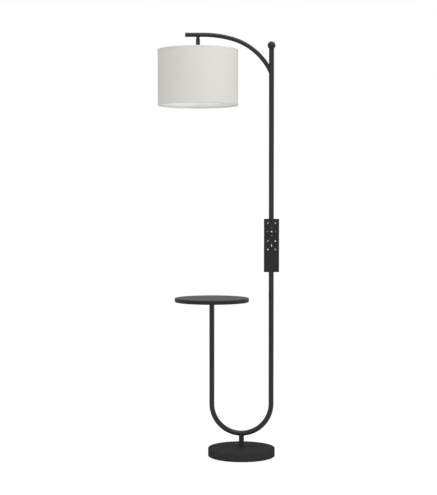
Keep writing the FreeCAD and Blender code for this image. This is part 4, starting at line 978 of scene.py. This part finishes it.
def circle(radius, centre=(0.0, 0.0), start=0.0, end=360.0, steps=40):
    """Arc of (x, z) points; a whole circle doesn't repeat its first point."""
    points = [(centre[0] + radius * math.cos(a), centre[1] + radius * math.sin(a))
              for a in map(math.radians, levels(start, end, steps))]
    return points[:-1] if abs(end - start) >= 360 else points


def disc(radius):
    return [[Vector(p) for p in circle(radius)]]


def rays(count, inner, outer, width):
    return [quad for a in angles(count)
            for quad in stroke([rotated((inner, 0), a), rotated((outer, 0), a)], width)]


def crescent(radius, bite, shift):
    """Filled moon: a disc without the part that another disc covers."""
    def reach(own, other):
        return math.degrees(math.acos((own ** 2 + shift ** 2 - other ** 2) / (2 * own * shift)))
    cut, bitten = reach(radius, bite), reach(bite, radius)
    outer = circle(radius, start=cut, end=360 - cut, steps=36)
    inner = circle(bite, (shift, 0), start=180 + bitten, end=180 - bitten, steps=36)
    return [[Vector(a), Vector(b), Vector(c), Vector(d)]
            for a, b, c, d in zip(outer, outer[1:], inner[::-1][1:], inner[::-1])]


def pointer(turn, size, width, places=(0.0,)):
    """Chevrons one behind the other at the given places; turn 0 points right and 90 up."""
    strokes = []
    for place in places:
        corners = [(place - size / 3, size), (place + size / 3, 0), (place - size / 3, -size)]
        strokes += stroke([rotated(corner, math.radians(turn)) for corner in corners], width)
    return strokes


def icon_shapes():
    """Outlines for each key, in mm about the middle of the icon, with their ink."""
    line = 0.75
    pair = (-1.2, 1.2)
    power = stroke(circle(2.6, start=125, end=415), line)
    power += stroke([(0, 0.6), (0, 3.3)], line)
    timer = stroke(circle(2.9), line, True)
    timer += stroke([(0, 1.9), (0, 0), (1.5, 0)], line)
    warm = disc(1.5) + rays(8, 2.2, 3.3, 0.6)
    cool = disc(2.3) + rays(8, 2.7, 3.4, 0.6)
    bar = [[Vector(p) for p in circle(1.6, (0, 2.6), 0, 180, 20)
            + circle(1.6, (0, -2.6), 180, 360, 20)]]
    day = stroke(circle(2.5), 0.9, True) + rays(8, 3.5, 4.7, 0.7)
    return {
        "key_power": (power, white_ink), "key_timer": (timer, white_ink),
        "key_up": (pointer(90, 3.0, 1.0), grey_ink),
        "key_down": (pointer(270, 3.0, 1.0), grey_ink),
        "key_left": (pointer(180, 1.7, 0.8, pair), grey_ink),
        "key_right": (pointer(0, 1.7, 0.8, pair), grey_ink),
        "key_ok": (disc(2.6), white_ink), "key_warm": (warm, white_ink),
        "key_cool": (cool, white_ink), "key_level": (bar, white_ink),
        "key_night": (crescent(3.0, 2.1, 2.9), white_ink), "key_day": (day, grey_ink),
    }


def icon_centre(node):
    """Middle of an icon; on the direction keys it lies out in the ring."""
    ways = {"key_up": (0, 1), "key_down": (0, -1), "key_left": (-1, 0), "key_right": (1, 0)}
    hub = middle("key_ok" if node in ways else node)
    x, z = ways.get(node, (0, 0))
    return hub.x + x * ICON_RING, hub.z + z * ICON_RING


def icon(node, shapes):
    """Thin print that stands just proud of its key."""
    x, z = icon_centre(node)
    face = low(node).y
    work = bmesh.new()
    for corners in shapes:
        front, back = ([work.verts.new((x + c[0] * MM, y, z + c[1] * MM)) for c in corners]
                       for y in (face - ICON_THICKNESS, face + ICON_THICKNESS))
        work.faces.new(front)
        work.faces.new(back[::-1])
        for side in zip(front[1:] + front[:1], front, back, back[1:] + back[:1]):
            work.faces.new(side)
    mesh = bpy.data.meshes.new("icon_" + node)
    bmesh.ops.recalc_face_normals(work, faces=work.faces)
    work.to_mesh(mesh)
    work.free()
    return mesh


def make_icons():
    for node, (shapes, ink) in icon_shapes().items():
        piece(icon(node, shapes), ink, node)


# ---- stage, light and camera
def emptied(owner):
    """Node tree of a world or material, with nothing in it."""
    owner.use_nodes = True
    owner.node_tree.nodes.clear()
    return owner.node_tree


def fed(tree, kind, *sources):
    """New node whose first inputs take those outputs, in order."""
    node = tree.nodes.new(kind)
    for place, source in enumerate(sources):
        tree.links.new(source, node.inputs[place])
    return node


def seen_directly(tree):
    """1 for rays that should show the background: from the camera, a reflection or glass."""
    path = tree.nodes.new("ShaderNodeLightPath")
    total = path.outputs["Is Camera Ray"]
    for name in ("Is Glossy Ray", "Is Transmission Ray"):
        either = fed(tree, "ShaderNodeMath", total, path.outputs[name])
        either.operation = "MAXIMUM"
        total = either.outputs[0]
    return total


def make_world():
    world = bpy.data.worlds.new("studio")
    bpy.context.scene.world = world
    tree = emptied(world)
    lighting, backdrop = (tree.nodes.new("ShaderNodeBackground") for _ in range(2))
    for node, strength in ((lighting, WORLD_LEVEL), (backdrop, 1.0)):
        node.inputs["Color"].default_value = (1, 1, 1, 1)
        node.inputs["Strength"].default_value = strength
    mix = fed(tree, "ShaderNodeMixShader", seen_directly(tree),
              lighting.outputs[0], backdrop.outputs[0])
    fed(tree, "ShaderNodeOutputWorld", mix.outputs[0])


def make_floor():
    """Pale floor: it takes the shadow, glows enough to look white, and is clear from below."""
    half = FLOOR_SIZE / 2
    mesh = bpy.data.meshes.new("floor")
    corners = [(-half, -half, 0), (half, -half, 0), (half, half, 0), (-half, half, 0)]
    mesh.from_pydata(corners, [], [(0, 1, 2, 3)])
    floor = linked("floor", mesh)
    floor.location.z = -FLOOR_DROP
    material = bpy.data.materials.new("floor")
    tree = emptied(material)
    plain, faint = (tree.nodes.new("ShaderNodeBsdfDiffuse") for _ in range(2))
    for node, level in ((plain, FLOOR_COLOUR), (faint, FLOOR_SHADING)):
        node.inputs["Color"].default_value = (level, level, level, 1)
    glow = tree.nodes.new("ShaderNodeEmission")
    glow.inputs["Strength"].default_value = FLOOR_GLOW
    shown = fed(tree, "ShaderNodeAddShader", faint.outputs[0], glow.outputs[0])
    above = fed(tree, "ShaderNodeMixShader", seen_directly(tree),
                plain.outputs[0], shown.outputs[0])
    below = tree.nodes.new("ShaderNodeBsdfTransparent")
    facing = tree.nodes.new("ShaderNodeNewGeometry").outputs["Backfacing"]
    mix = fed(tree, "ShaderNodeMixShader", facing, above.outputs[0], below.outputs[0])
    fed(tree, "ShaderNodeOutputMaterial", mix.outputs[0])
    mesh.materials.append(material)


def make_lights():
    for name, place, size, power in (("key", KEY_PLACE, KEY_SIZE, KEY_POWER),
                                     ("top", TOP_PLACE, TOP_SIZE, TOP_POWER)):
        data = bpy.data.lights.new(name, "AREA")
        data.shape = "RECTANGLE"
        data.size, data.size_y = size
        data.energy = power
        light = linked(name, data)
        light.location = place
        direction = Vector(LIGHT_TARGET) - Vector(place)
        light.rotation_euler = direction.to_track_quat("-Z", "Y").to_euler()


def make_camera():
    data = bpy.data.cameras.new("camera")
    data.lens = CAMERA_LENS
    data.sensor_width = CAMERA_SENSOR
    data.sensor_fit = "AUTO"
    data.clip_end = 100.0
    camera = linked("camera", data)
    camera.location = CAMERA_PLACE
    camera.rotation_euler = (math.pi / 2 - CAMERA_PITCH, 0, 0)
    bpy.context.scene.camera = camera


for carried_material, carried_nodes in CARRIED_OVER:
    for carried_node in carried_nodes:
        paint(carried_node, carried_material)
make_tubes()
make_shade()
make_holder_and_bulb()
make_screws()
make_icons()
make_world()
make_floor()
make_lights()
make_camera()
bpy.context.scene.view_settings.view_transform = "Standard"
